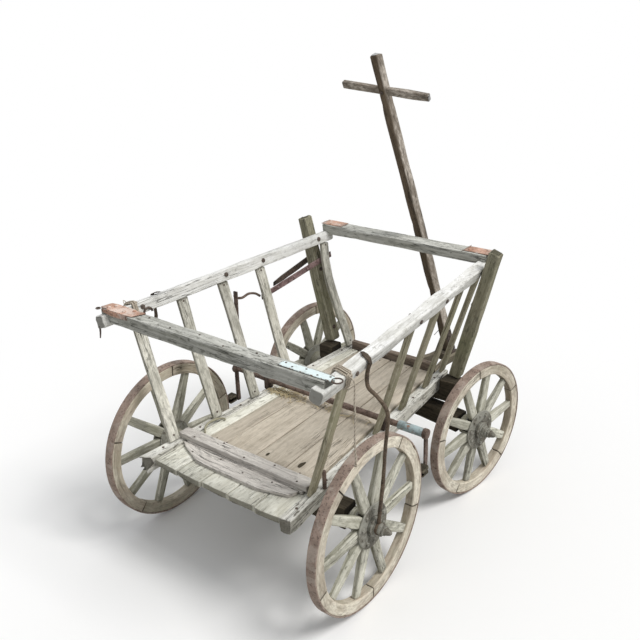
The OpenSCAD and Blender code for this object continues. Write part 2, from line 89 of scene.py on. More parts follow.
# %% Camera
azimuth, elevation, roll = (math.radians(a) for a in (-52.06, 24.10, -2.04))
right = Vector((math.cos(azimuth), math.sin(azimuth), 0))
ahead = -Vector((math.sin(azimuth) * math.cos(elevation), -math.cos(azimuth) * math.cos(elevation),
                 math.sin(elevation)))
up = right.cross(ahead)
camera_x = right * math.cos(roll) + up * math.sin(roll)
camera_y = up * math.cos(roll) - right * math.sin(roll)
camera_data = bpy.data.cameras.new("camera")
camera_data.sensor_width = 36
camera_data.lens = 44.11
camera_data.shift_x = -0.0045
camera_data.shift_y = 0.0033
camera = bpy.data.objects.new("camera", camera_data)
camera.matrix_world = Matrix((
    (camera_x.x, camera_y.x, -ahead.x, AXLE_X - 1.517),
    (camera_x.y, camera_y.y, -ahead.y, -1.455),
    (camera_x.z, camera_y.z, -ahead.z, 1.742),
    (0, 0, 0, 1)))
bpy.context.collection.objects.link(camera)
bpy.context.scene.camera = camera
print("camera looks along", tuple(round(c, 3) for c in ahead))

# %% [markdown]
# ## Irregularity
# Old wood is never straight or even. A sum of a few sine waves with seeded directions gives a
# smooth, repeatable unevenness that we can evaluate on whole arrays at once.

# %% Smooth unevenness


def uneven(*coordinates, seed=0, waves=7):
    """Sum of sine waves in random directions of the given coordinates: smooth, about -1 to 1."""
    rng = np.random.default_rng(seed)
    total = 0.0
    for _ in range(waves):
        k = rng.normal(size=len(coordinates))
        total = total + np.sin(sum(c * w for c, w in zip(coordinates, k))
                               + rng.uniform(0, 2 * np.pi))
    return total / math.sqrt(waves)


print("unevenness at a few places:", np.round(uneven(np.arange(4.0), seed=3), 2))

# %% Directions, distances and tubes


def unit(v):
    """Each vector divided by its own length."""
    return v / np.linalg.norm(v, axis=-1, keepdims=True)


def distance_along(path):
    """How far each point of a path lies from the first one, measured along the path."""
    return np.r_[0, np.cumsum(np.linalg.norm(np.diff(path, axis=0), axis=1))]


def tube_faces(rows, columns, closed_rows=False):
    """Quads of a grid whose columns close into a ring, and whose rows may close too."""
    i = np.arange(rows if closed_rows else rows - 1)[:, None]
    k = np.arange(columns)[None, :]
    a, b = i * columns + k, i * columns + (k + 1) % columns
    c, d = (i + 1) % rows * columns + (k + 1) % columns, (i + 1) % rows * columns + k
    return np.stack([a, b, c, d], -1).reshape(-1, 4).tolist()


def cap_faces(rows, columns):
    """The two many-sided faces that close an open tube, on its first row and on its last."""
    return [list(range(columns - 1, -1, -1)), list(range((rows - 1) * columns, rows * columns))]


print("a tube of 5 rows by 6 columns has", len(tube_faces(5, 6) + cap_faces(5, 6)), "faces")

# %% [markdown]
# ## A worn timber
# Nearly everything on this cart is a piece of wood with four worn edges. It could be a cube with a
# Bevel modifier, but then every edge is equally round. Here the section is a rounded rectangle
# whose corner radius, width and faces all vary along the length, so edges are rubbed in one place
# and crisp in another. The same surface carries the facts that its material needs: where a point
# lies along the grain, how near it is to an edge or an end, and a tone of its own for each timber.

# %% Timber surface
SECTION = 4 * (3 + 3)  # points round a timber: three on each corner and three on each face
CORNER = np.repeat(np.arange(4), 3)
ARC = np.radians(np.tile([0, 45, 90], 4) + 90 * CORNER)
SIDE_AT = np.array([0.14, 0.5, 0.86])


def corner_points(half_w, half_d, radius, corner, angle):
    """A rounded rectangle's corner: its centre sits one radius in from both faces, and the point
    lies one radius away from that centre in the direction of the angle."""
    sign_w, sign_d = np.array([1, -1, -1, 1])[corner], np.array([1, 1, -1, -1])[corner]
    r = np.take_along_axis(radius, np.broadcast_to(corner, (len(radius), len(corner))), 1)
    return np.stack([sign_w * (half_w - r) + r * np.cos(angle),
                     sign_d * (half_d - r) + r * np.sin(angle)], -1)


def timber(path, width, depth, facing, seed, corner=3.0, wear=1.0, step=28.0, ragged=(0.0, 0.0),
           chips=0.0, bow=0.0, end_round=2.5, tone=None):
    """A timber along a path. u runs along the path, v round the section. Point = centre(u)
    + across * w(u, v) + facing * d(u, v), where (w, d) is a rounded rectangle whose half sizes
    shrink by the wear and whose corner radius wanders. width and depth are single values or one
    for each path point; facing is the direction of the depth. Sizes in millimetres."""
    path = np.asarray(path, float)
    rng = np.random.default_rng(seed)
    reach = distance_along(path)
    length = reach[-1]
    count = max(5, int(length / step) + 1)
    along = np.r_[0, np.linspace(end_round, length - end_round, count), length]
    along = np.unique(np.r_[along, reach[1:-1]]) if len(path) < 12 else along
    rows = len(along)
    centre = np.stack([np.interp(along, reach, path[:, a]) for a in range(3)], -1)
    tangent = unit(np.gradient(centre, along, axis=0))
    facing = np.broadcast_to(np.asarray(facing, float), tangent.shape)
    across = unit(np.cross(facing, tangent))
    facing = np.cross(tangent, across)
    half = [np.interp(along, reach, np.broadcast_to(s, len(path)))[:, None] / 2
            for s in (width, depth)]
    at = along[:, None] / 60
    half = [h - wear * 0.5 * (1 + uneven(at, seed=seed + 11 + n)) for n, h in enumerate(half)]
    at_corner = np.arange(4)[None, :] * 9.0
    radius = corner * (1 + 0.55 * uneven(at * 1.3, at_corner, seed=seed + 5))
    radius = radius + chips * np.clip(uneven(at * 3.1, at_corner, seed=seed + 6) - 1.1, 0, 1)
    radius = np.clip(radius, 0.4 * corner, 0.92 * np.minimum(half[0], half[1]))
    arcs = corner_points(half[0], half[1], radius, CORNER, ARC)
    after = corner_points(half[0], half[1], radius, np.arange(4),
                          np.radians(90.0 * np.arange(1, 5)))
    before = corner_points(half[0], half[1], radius, (np.arange(4) + 1) % 4,
                           np.radians(90.0 * np.arange(1, 5)))
    sides = after[:, :, None] + (before - after)[:, :, None] * SIDE_AT[None, None, :, None]
    ring = np.concatenate([arcs.reshape(rows, 4, 3, 2), sides], 2).reshape(rows, SECTION, 2)
    edge = np.tile([1, 1, 1, 0, 0, 0], 4)
    dip = wear * 0.35 * (1 + uneven(at * 0.8, np.arange(SECTION)[None, :] * 1.7, seed=seed + 7))
    ring = ring * (1 - (1 - edge)[None, :, None] * dip[..., None]
                   / (np.abs(ring).max(-1, keepdims=True) + 6))
    inset = np.ones(rows)
    inset[[0, -1]] = 1 - end_round / np.minimum(half[0], half[1])[[0, -1], 0] * 0.8
    ring = ring * inset[:, None, None]
    slack = bow * np.sin(np.pi * along / length)[:, None] * uneven(at * 0.35, seed=seed + 8)
    points = (centre[:, None] + across[:, None] * (ring[..., :1] + slack[..., None])
              + facing[:, None] * ring[..., 1:])
    torn = uneven(ring[..., 0] / 6, ring[..., 1] / 9, seed=seed + 9)
    near = [np.exp(-along / 14), np.exp(-(length - along) / 14)]
    shift = sum(side * near_end[:, None] * amount * (0.5 + 0.5 * torn).clip(0, 1)
                for side, near_end, amount in zip((1, -1), near, ragged))
    points = points + tangent[:, None] * shift[..., None]
    place = rng.uniform(-9, 9, 3)
    grain = np.stack([np.broadcast_to(along[:, None], (rows, SECTION)), ring[..., 0], ring[..., 1]],
                     -1)
    ends = np.exp(-np.minimum(along, length - along) / 22)
    return {"points": points.reshape(-1, 3),
            "faces": tube_faces(rows, SECTION) + cap_faces(rows, SECTION),
            "grain": grain.reshape(-1, 3) * MM + place,
            "edge": np.tile(edge, rows).astype(float),
            "ends": np.repeat(ends, SECTION),
            "tone": np.full(rows * SECTION, rng.uniform(0, 1) if tone is None else tone)}


sample = timber([[0, 0, 0], [400, 0, 0]], 40, 14, (0, 0, 1), seed=1)
print("a slat has", len(sample["faces"]), "faces")

# %% [markdown]
# ## Turned and swept shapes
# Hubs, tyres, bolts and nuts are profiles turned about an axis. Rods and cords are circles swept
# along a smooth curve. Both are again grids with two parameters. The curve passes through its
# control points with a Catmull-Rom spline, so it bends as smoothly as a bent rod.

# %% Turned shapes


def axes_about(axis):
    """Two directions at right angles to an axis and to each other, in right-handed order."""
    axis = unit(np.asarray(axis, float))
    first = unit(np.cross([0.31, 0.17, 1.0] if abs(axis[2]) < 0.9 else [1.0, 0.2, 0.1], axis))
    return axis, first, np.cross(axis, first)


def turned_shape(centre, axis, profile, count=48, closed=False, start=0.0, rough=0.0, seed=0):
    """A profile of (radius, height) points turned about an axis: centre + height * axis
    + radius * (cos t * first + sin t * second). A closed profile makes a ring. Corners that stand
    out are worn edges; inner corners are marked for a painted shade."""
    axis, first, second = axes_about(axis)
    profile = np.asarray(profile, float)
    t = start + np.arange(count) * 2 * np.pi / count
    radius = np.repeat(profile[:, :1], count, 1)
    radius = radius - rough * (0.5 + 0.5 * uneven(np.cos(t) * 3, np.sin(t) * 3, seed=seed)) ** 2
    round_about = np.cos(t)[:, None] * first + np.sin(t)[:, None] * second
    spine = np.asarray(centre, float) + profile[:, 1, None, None] * axis
    points = spine + radius[..., None] * round_about
    rows = len(profile)
    faces = tube_faces(rows, count, closed)
    if not closed:
        faces = faces + cap_faces(rows, count)
    turn = np.diff(profile, axis=0, append=profile[:1])
    bend = 1.3 * np.cross(unit(np.roll(turn, 1, 0) + 1e-9), unit(turn + 1e-9))
    grain = np.stack([np.broadcast_to(t * profile[:, 0].max(), radius.shape), radius,
                      np.repeat(profile[:, 1:], count, 1)], -1)
    return {"points": points.reshape(-1, 3), "faces": faces,
            "grain": grain.reshape(-1, 3) * MM + seed * 0.37,
            "edge": np.repeat(bend.clip(0, 1), count),
            # Inner corners, stored as ends: the materials darken them, a painted shade.
            "ends": np.repeat((-bend).clip(0, 1), count),
            "tone": np.full(rows * count, (seed * 0.618) % 1)}


def bolt(centre, axis, radius, height, sides=6, seed=0):
    """A bolt head or nut: a low many-sided drum with a domed top, set a hair into what it holds."""
    profile = [(radius, -1.0), (radius, height * 0.62), (radius * 0.82, height * 0.9),
               (radius * 0.4, height)]
    return turned_shape(centre, axis, profile, count=sides, start=seed * 1.7, seed=seed)


print("a nut has", len(bolt((0, 0, 0), (0, 0, 1), 9, 5)["faces"]), "faces")

# %% Swept rods


def smooth_path(points, count):
    """Catmull-Rom spline: cubic through each pair of points, with slopes from their neighbours."""
    p = np.asarray(points, float)
    p = np.vstack([2 * p[0] - p[1], p, 2 * p[-1] - p[-2]])
    t = np.linspace(0, len(p) - 3 - 1e-9, count)
    i, f = t.astype(int), (t % 1)[:, None]
    a, b, c, d = p[i], p[i + 1], p[i + 2], p[i + 3]
    return 0.5 * (2 * b + (c - a) * f + (2 * a - 5 * b + 4 * c - d) * f ** 2
                  + (3 * b - a - 3 * c + d) * f ** 3)


def rod(path, radius, seed=0, sides=10, strands=0, pitch=20.0, rough=0.0, hint=(0.8, 0.1, -0.6)):
    """A round rod: path(u) + r * (cos t * first + sin t * second). With strands, r swells and
    narrows that many times round the section, and the swelling turns as it goes along: a twist."""
    path = np.asarray(path, float)
    reach = distance_along(path)
    tangent = unit(np.gradient(path, axis=0))
    first = unit(np.cross(tangent, np.asarray(hint, float)))
    second = np.cross(tangent, first)
    t = np.arange(sides) * 2 * np.pi / sides
    radii = np.atleast_1d(radius)
    size = np.interp(reach, np.linspace(0, reach[-1], len(radii)), radii)
    r = np.repeat(size[:, None], sides, 1)
    if strands:
        turned_on = t[None, :] - 2 * np.pi * reach[:, None] / pitch
        r = r * (0.74 + 0.26 * np.abs(np.cos((strands / 2) * turned_on)))
    r = r - rough * (0.5 + 0.5 * uneven(reach[:, None] / 9, np.cos(t)[None], seed=seed))
    outwards = np.cos(t)[:, None] * first[:, None] + np.sin(t)[:, None] * second[:, None]
    points = path[:, None] + r[..., None] * outwards
    rows = len(path)
    grain = np.stack([np.broadcast_to(reach[:, None], r.shape),
                      np.broadcast_to(np.cos(t) * size.max(), r.shape),
                      np.broadcast_to(np.sin(t) * size.max(), r.shape)], -1)
    lobe = (r / size[:, None]).reshape(-1)
    return {"points": points.reshape(-1, 3),
            "faces": tube_faces(rows, sides) + cap_faces(rows, sides),
            "grain": grain.reshape(-1, 3) * MM + seed * 0.29,
            "edge": (lobe if strands else np.full(rows * sides, 0.3)).clip(0, 1),
            "ends": np.zeros(rows * sides),
            "tone": np.full(rows * sides, (seed * 0.618) % 1)}


print("a bent rod has", len(rod(smooth_path([[0, 0, 0], [0, 40, 50], [0, 0, 90]], 20), 5)["faces"]),
      "faces")

# %% [markdown]
# ## From arrays to Blender pieces
# One function joins the surfaces of a piece, writes its mesh, and stores the facts for the
# material as attributes. Tops of timbers bleach in the sun, and faces turned to the light are also
# painted paler, a painted light, so it also stores how much each point faces the sky, or the
# direction the piece is given. The piece then rides on its body and stands for the CAD parts it
# replaces.

# %% Pieces
made = {}
FACTS = ("grain", "edge", "ends", "tone")


def join(parts):
    """Several surfaces as one: the points of each follow those of the one before."""
    starts = np.cumsum([0] + [len(p["points"]) for p in parts])
    faces = [[int(v) + int(s) for v in f] for p, s in zip(parts, starts) for f in p["faces"]]
    joined = {fact: np.concatenate([p[fact] for p in parts]) for fact in ("points",) + FACTS}
    return {**joined, "faces": faces}


def piece(name, parts, material, body, nodes=(), move=None, sky=None,
          sharp=38):
    """Joins the parts, moves them if asked, and makes one object with its facts as attributes.
    sky is the direction from which the weather bleaches the wood and the light falls, so the paler
    face it gives is partly painted light; or several directions, or one value for the piece."""
    whole = join(parts)
    points = whole["points"] if move is None else move(whole["points"])
    mesh = bpy.data.meshes.new(name)
    mesh.from_pydata(to_metres(points), [], whole["faces"])
    mesh.shade_smooth()
    mesh.set_sharp_from_angle(angle=math.radians(sharp))
    normals = np.empty(len(points) * 3)
    mesh.vertices.foreach_get("normal", normals)
    # How much each point faces the weather and the light: the fade it drives is bleaching and
    # partly painted light.
    weather_and_light = np.atleast_2d(sky if np.ndim(sky) else (0, 0, 1.0))
    facing_sky = (normals.reshape(-1, 3) @ weather_and_light.T).max(1).clip(0, 1)
    whole["sky"] = facing_sky if sky is None or np.ndim(sky) else np.full(len(points), sky)
    for fact in FACTS + ("sky",):
        kind, field = ("FLOAT_VECTOR", "vector") if fact == "grain" else ("FLOAT", "value")
        data = mesh.attributes.new(fact, kind, "POINT").data
        data.foreach_set(field, np.ascontiguousarray(whole[fact], dtype=np.float32).ravel())
    mesh.materials.append(material)
    obj = bpy.data.objects.new(name, mesh)
    bpy.context.collection.objects.link(obj)
    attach(obj, body)
    if nodes:
        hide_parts(*nodes)
    made[name] = len(whole["faces"])
    print(f"{name}: {len(whole['faces'])} faces")
    return obj


# %% [markdown]
# ## Node groups: the ways in which old things look old
# Each effect that several materials share is a node group: long grain with cracks, soft blotches,
# rust, and wear along edges. A group gives only varying values. The shader stays in the material.

# %% Helpers for shader trees


def new_group(name, inputs, outputs):
    """An empty shader group with the named inputs and outputs, and its two end nodes."""
    tree = bpy.data.node_groups.new(name, "ShaderNodeTree")
    for label, kind, value in inputs:
        socket = tree.interface.new_socket(name=label, in_out="INPUT",
                                           socket_type="NodeSocket" + kind)
        if value is not None:
            socket.default_value = value
    for label, kind in outputs:
        tree.interface.new_socket(name=label, in_out="OUTPUT", socket_type="NodeSocket" + kind)
    return tree, tree.nodes.new("NodeGroupInput").outputs, tree.nodes.new("NodeGroupOutput").inputs


def put(tree, kind, inputs, **settings):
    """Adds one node. inputs gives a value or a socket for each named or numbered input."""
    node = tree.nodes.new("ShaderNode" + kind)
    for key, value in settings.items():
        setattr(node, key, value)
    for key, value in inputs.items():
        if isinstance(value, bpy.types.NodeSocket):
            tree.links.new(value, node.inputs[key])
        else:
            node.inputs[key].default_value = value
    return node.outputs


def noise(tree, where, scale, detail=4.0, roughness=0.6, distortion=0.0):
    """A cloud pattern between 0 and 1, mostly near a half."""
    return put(tree, "TexNoise", {"Vector": where, "Scale": scale, "Detail": detail,
                                  "Roughness": roughness, "Distortion": distortion})["Fac"]


def stretched(tree, where, factors):
    """A place with each direction multiplied by its own factor: a large one makes fine detail."""
    return put(tree, "VectorMath", {0: where, 1: factors}, operation="MULTIPLY")["Vector"]


def between(tree, value, low, high, out_low=0.0, out_high=1.0):
    """Smoothly from out_low at low to out_high at high."""
    return put(tree, "MapRange", {"Value": value, "From Min": low, "From Max": high,
                                  "To Min": out_low, "To Max": out_high},
               interpolation_type="SMOOTHSTEP")["Result"]


def calc(tree, operation, a, b=0.0, clamp=False):
    """One Math node on two values or sockets."""
    return put(tree, "Math", {0: a, 1: b}, operation=operation, use_clamp=clamp)["Value"]


def scaled(tree, value, factor, offset):
    """value * factor + offset."""
    return calc(tree, "ADD", calc(tree, "MULTIPLY", value, factor), offset)


def blend_colour(tree, amount, a, b):
    """Colour a where the amount is 0, colour b where it is 1."""
    return put(tree, "Mix", {0: amount, 6: a, 7: b}, data_type="RGBA")[2]


def glaze(tree, colour, mask, strength, top):
    """Lays the colour top over another colour, as strongly as mask * strength says."""
    return blend_colour(tree, calc(tree, "MULTIPLY", mask, strength), colour, top)


def fact(tree, name):
    """One of the facts that each piece stores on its points: grain, edge, ends, tone or sky."""
    return put(tree, "Attribute", {}, attribute_name=name)


print("helpers ready")

# %% Group: grain with cracks
grain_tree, given, result = new_group(
    "old_grain", [("Where", "Vector", None), ("Crack Share", "Float", 0.5)],
    [("Fibre", "Float"), ("Bands", "Float"), ("Crack", "Float"), ("Height", "Float")])
wander = noise(grain_tree, stretched(grain_tree, given["Where"], (2, 6, 6)), 1.0, 2.0)
fine = noise(grain_tree, stretched(grain_tree, given["Where"], (14, 170, 170)), 1.0, 6.0, 0.75)
bands = noise(grain_tree, stretched(grain_tree, given["Where"], (2.2, 62, 62)), 1.0, 3.0, 0.55, 0.6)
split = noise(grain_tree, stretched(grain_tree, given["Where"], (3.4, 95, 95)), 1.0, 2.0, 0.5, 0.9)
thin = calc(grain_tree, "ABSOLUTE", calc(grain_tree, "SUBTRACT", split, 0.5))
line = between(grain_tree, thin, 0.003, 0.02, 1.0, 0.0)
where_split = between(grain_tree, calc(grain_tree, "ADD", wander, given["Crack Share"]), 0.95, 1.1)
crack = calc(grain_tree, "MULTIPLY", line, where_split)
grain_tree.links.new(between(grain_tree, fine, 0.32, 0.68), result["Fibre"])
grain_tree.links.new(between(grain_tree, bands, 0.34, 0.66), result["Bands"])
grain_tree.links.new(crack, result["Crack"])
relief = calc(grain_tree, "ADD", calc(grain_tree, "MULTIPLY", fine, 0.5),
              calc(grain_tree, "MULTIPLY", bands, 0.5))
grain_tree.links.new(calc(grain_tree, "SUBTRACT", relief, calc(grain_tree, "MULTIPLY", crack, 0.9)),
                     result["Height"])
print("grain group:", len(grain_tree.nodes), "nodes")

# %% Group: blotches
blotch_tree, given, result = new_group("blotches",
                                       [("Where", "Vector", None), ("Size", "Float", 8.0),
                                        ("From", "Float", 0.45), ("To", "Float", 0.6)],
                                       [("Mask", "Float")])
cloud = noise(blotch_tree, given["Where"], given["Size"], 6.0, 0.62, 0.4)
blotch_tree.links.new(between(blotch_tree, cloud, given["From"], given["To"]), result["Mask"])

# %% Group: wear along edges
edge_tree, given, result = new_group(
    "edge_wear", [("Where", "Vector", None), ("Edge", "Float", 0.0), ("Amount", "Float", 0.5)],
    [("Mask", "Float")])
crumbs = noise(edge_tree, given["Where"], 55.0, 5.0, 0.7)
reach_in = scaled(edge_tree, given["Edge"], 0.6, crumbs)
limit = calc(edge_tree, "SUBTRACT", 1.35, calc(edge_tree, "MULTIPLY", given["Amount"], 0.6))
edge_tree.links.new(between(edge_tree, calc(edge_tree, "SUBTRACT", reach_in, limit), -0.06, 0.08),
                    result["Mask"])

# %% Group: rust
rust_tree, given, result = new_group(
    "rust", [("Where", "Vector", None), ("Bright", "Color", (0.42, 0.20, 0.12, 1)),
             ("Deep", "Color", (0.13, 0.07, 0.05, 1))],
    [("Color", "Color"), ("Height", "Float"), ("Pits", "Float")])
patches = noise(rust_tree, given["Where"], 26.0, 6.0, 0.66, 0.3)
grit = noise(rust_tree, given["Where"], 420.0, 4.0, 0.7)
pits = between(rust_tree, noise(rust_tree, given["Where"], 150.0, 3.0, 0.6), 0.36, 0.46, 1.0, 0.0)
toned = blend_colour(rust_tree, between(rust_tree, patches, 0.36, 0.62), given["Deep"],
                     given["Bright"])
toned = blend_colour(rust_tree, between(rust_tree, grit, 0.45, 0.75, 0.0, 0.35), toned,
                     (0.5, 0.33, 0.22, 1))
toned = glaze(rust_tree, toned, pits, 0.55, (0.05, 0.03, 0.025, 1))
rust_tree.links.new(toned, result["Color"])
rust_tree.links.new(pits, result["Pits"])
rust_tree.links.new(calc(rust_tree, "ADD", calc(rust_tree, "MULTIPLY", patches, 0.6),
                         calc(rust_tree, "MULTIPLY", grit, 0.3)), result["Height"])
print("groups:", [g.name for g in bpy.data.node_groups])

# %% [markdown]
# ## Dry old wood
# Wood that stands outside for years turns grey on the outside and stays brown in the cracks. Its
# upper faces bleach nearly white, its shaded faces keep a green-grey film, ends crack and darken,
# and edges rub pale. The paleness of faces turned to the light is partly painted light, and the
# dark end faces are partly painted shade. One function builds such a material from three colours
# and a few amounts, and every kind of timber on the cart gets its own values.

# %% Wood materials
ALGAE, OLD_PINK = (0.22, 0.225, 0.13, 1), (0.44, 0.30, 0.235, 1)


def place_group(tree, name, inputs):
    """Puts a node group into a material, with a value or a socket for each named input."""
    node = tree.nodes.new("ShaderNodeGroup")
    node.node_tree = bpy.data.node_groups[name]
    for key, value in inputs.items():
        if isinstance(value, bpy.types.NodeSocket):
            tree.links.new(value, node.inputs[key])
        else:
            node.inputs[key].default_value = value
    return node.outputs


def new_material(name):
    """A material with its shader tree and its Principled shader."""
    material = bpy.data.materials.new(name)
    material.use_nodes = True
    tree = material.node_tree
    shader = tree.nodes["Principled BSDF"]
    return material, tree, shader


def finish_surface(tree, shader, colour, height, roughness, depth=0.0012, strength=0.8):
    """Colour, roughness and bump into the shader. The bump's height is in metres of depth."""
    tree.links.new(colour, shader.inputs["Base Color"])
    tree.links.new(roughness, shader.inputs["Roughness"])
    bumped = put(tree, "Bump", {"Height": height, "Distance": depth,
                                "Strength": strength})["Normal"]
    tree.links.new(bumped, shader.inputs["Normal"])


def shaded(colour, factor, limit=1.0):
    """A colour with each of its three parts multiplied by a factor, and none above the limit."""
    return [min(limit, c * factor) for c in colour[:3]] + [1]


def old_wood(name, pale, mid, dark, bleach=0.5, green=0.2, cracks=0.5, rub=0.4, pink=0.0,
             flecked=0.5, sun=0.55, fade=None, cut=None):
    """Three colours from pale to dark, and how much the wood is bleached, green, cracked, rubbed,
    pink with old paint, flecked with dirt, and faded on the side that faces the weather and the
    light:
    bleaching, and partly painted light. The faded colour is a fifth lighter than the pale one, and
    the sawn ends nearly as dark as the cracks, unless they are given: end grain, and partly painted
    shade on end faces turned from the light and in the inner corners of turned shapes."""
    material, tree, shader = new_material(name)
    shader.inputs["Specular IOR Level"].default_value = 0.18
    where = fact(tree, "grain")["Vector"]
    tone, sky = fact(tree, "tone")["Fac"], fact(tree, "sky")["Fac"]
    edge, ends = fact(tree, "edge")["Fac"], fact(tree, "ends")["Fac"]
    deep = shaded(dark, 0.55)

    def blotches(across, size, low, high):
        return place_group(tree, "blotches", {"Where": stretched(tree, where, (1, across, across)),
                                              "Size": size, "From": low, "To": high})["Mask"]

    g = place_group(tree, "old_grain", {"Where": where, "Crack Share": cracks})
    colour = blend_colour(tree, g["Bands"], dark, mid)
    colour = glaze(tree, colour, g["Fibre"], 0.62, pale)
    # Paler where the point faces the sky attribute's direction: bleaching, and partly painted light
    # on faces turned to the light.
    bleached_and_lit = scaled(tree, sky, sun, bleach)
    broad = scaled(tree, blotches(2.2, 9.0, 0.4, 0.62), 0.65, 0.3)
    bleached_and_lit = calc(tree, "MULTIPLY", bleached_and_lit, broad, True)
    narrow = scaled(tree, blotches(3.5, 42.0, 0.42, 0.6), 0.5, 0.5)
    bleached_and_lit = calc(tree, "MULTIPLY", bleached_and_lit, narrow, True)
    colour = blend_colour(tree, bleached_and_lit, colour, fade or shaded(pale, 1.2, 0.92))
    film = calc(tree, "SUBTRACT", green, calc(tree, "MULTIPLY", sky, green * 0.5))
    colour = glaze(tree, colour, blotches(1, 5.5, 0.42, 0.66), film, ALGAE)
    colour = glaze(tree, colour, blotches(1, 14.0, 0.58, 0.74), 0.4, deep)
    colour = glaze(tree, colour, blotches(2.6, 34.0, 0.53, 0.68), flecked, deep)
    worn = place_group(tree, "edge_wear", {"Where": where, "Edge": edge, "Amount": rub})["Mask"]
    colour = glaze(tree, colour, worn, 0.6, pale)
    if pink:
        colour = glaze(tree, colour, blotches(1, 11.0, 0.38, 0.58), pink, OLD_PINK)
    split_end = calc(tree, "MULTIPLY", ends, scaled(tree, g["Bands"], 0.5, 0.2))
    colour = glaze(tree, colour, split_end, 0.4, deep)
    # End faces, and inner corners of turned shapes, blend to the dark end colour: end grain, and
    # partly painted shade.
    end_grain_and_shade = between(tree, ends, 0.92, 0.99, 0.0, 0.8)
    colour = blend_colour(tree, end_grain_and_shade, colour, cut or deep)
    colour = glaze(tree, colour, g["Crack"], 0.85, shaded(dark, 0.22))
    brightness = scaled(tree, tone, 0.26, 0.88)
    colour = put(tree, "VectorMath", {0: colour, "Scale": brightness}, operation="SCALE")["Vector"]
    roughness = between(tree, g["Fibre"], 0.0, 1.0, 0.94, 0.78)
    finish_surface(tree, shader, colour, g["Height"], roughness, 0.0022, 0.85)
    return material


wood_bleached = old_wood("wood_bleached", (0.82, 0.82, 0.79, 1), (0.66, 0.66, 0.62, 1),
                         (0.40, 0.39, 0.35, 1), bleach=0.4, green=0.1, cracks=0.5, rub=0.45,
                         flecked=0.45)
wood_slat = old_wood("wood_slat", (0.68, 0.665, 0.595, 1), (0.40, 0.385, 0.325, 1),
                     (0.21, 0.20, 0.155, 1), bleach=0.0, green=0.3, cracks=0.55, rub=0.45,
                     flecked=0.6, sun=1.25)
wood_sill = old_wood("wood_sill", (0.80, 0.79, 0.73, 1), (0.60, 0.58, 0.52, 1),
                     (0.29, 0.27, 0.22, 1), bleach=0.22, green=0.25, cracks=0.55, rub=0.45,
                     flecked=0.95)
wood_bar = old_wood("wood_bar", (0.60, 0.60, 0.56, 1), (0.43, 0.43, 0.395, 1),
                    (0.22, 0.22, 0.19, 1), bleach=0.05, green=0.12, cracks=0.56, rub=0.5,
                    flecked=0.8, sun=0.7)
wood_floor = old_wood("wood_floor", (0.64, 0.58, 0.49, 1), (0.52, 0.46, 0.375, 1),
                      (0.36, 0.31, 0.24, 1), bleach=0.12, green=0.05, cracks=0.42, rub=0.25,
                      flecked=0.3, sun=0.3)
wood_ledge = old_wood("wood_ledge", (0.80, 0.79, 0.70, 1), (0.66, 0.64, 0.55, 1),
                      (0.40, 0.38, 0.30, 1), bleach=0.28, green=0.12, cracks=0.5, rub=0.4,
                      flecked=0.5)
wood_batten = old_wood("wood_batten", (0.73, 0.70, 0.65, 1), (0.56, 0.52, 0.485, 1),
                       (0.29, 0.265, 0.245, 1), bleach=0.1, green=0.03, cracks=0.5, rub=0.4,
                       flecked=0.45, sun=0.6)
# A darker, browner copy of the slat wood for the right side, whose visible faces turn from the sun:
# painted shade.
wood_slat_painted_shade = old_wood("wood_slat_painted_shade", (0.50, 0.465, 0.35, 1), (0.34, 0.31, 0.22, 1),
                           (0.17, 0.15, 0.10, 1), bleach=0.08, green=0.4, cracks=0.5, rub=0.45,
                           flecked=0.5)
wood_stake = old_wood("wood_stake", (0.42, 0.40, 0.30, 1), (0.28, 0.26, 0.185, 1),
                      (0.13, 0.12, 0.08, 1), bleach=0.06, green=0.5, cracks=0.5, rub=0.45)
wood_dark = old_wood("wood_dark", (0.24, 0.21, 0.16, 1), (0.135, 0.115, 0.08, 1),
                     (0.06, 0.05, 0.036, 1), bleach=0.03, green=0.15, cracks=0.5, rub=0.45)
# Near-black wood: on the beams under the bed its darkness is painted shade; the floor's knot hole
# and stain use it too.
wood_shade_and_stain = old_wood("wood_shade_and_stain", (0.11, 0.09, 0.062, 1), (0.055, 0.045, 0.031, 1),
                      (0.022, 0.018, 0.013, 1), bleach=0.0, green=0.1, cracks=0.5, rub=0.4, sun=0.2)
wood_rim = old_wood("wood_rim", (0.80, 0.74, 0.61, 1), (0.42, 0.355, 0.265, 1),
                    (0.22, 0.185, 0.135, 1), bleach=0.05, green=0.45, cracks=0.42, rub=0.5,
                    pink=0.2, flecked=0.4, sun=1.5, fade=(0.92, 0.87, 0.74, 1))
wood_spoke = old_wood("wood_spoke", (0.70, 0.69, 0.60, 1), (0.38, 0.365, 0.29, 1),
                      (0.19, 0.18, 0.13, 1), bleach=0.04, green=0.3, cracks=0.5, rub=0.5,
                      flecked=0.5, sun=1.0)
wood_brown = old_wood("wood_brown", (0.21, 0.165, 0.12, 1), (0.115, 0.083, 0.056, 1),
                      (0.054, 0.039, 0.026, 1), bleach=0.0, green=0.06, cracks=0.5, rub=0.35,
                      sun=1.8, fade=(0.64, 0.58, 0.51, 1), cut=(0.55, 0.56, 0.56, 1))
wood_red = old_wood("wood_red", (0.36, 0.29, 0.235, 1), (0.19, 0.145, 0.11, 1),
                    (0.08, 0.06, 0.045, 1), bleach=0.03, green=0.1, cracks=0.5, rub=0.5)
print("woods:", [m.name for m in bpy.data.materials if m.name.startswith("wood")])
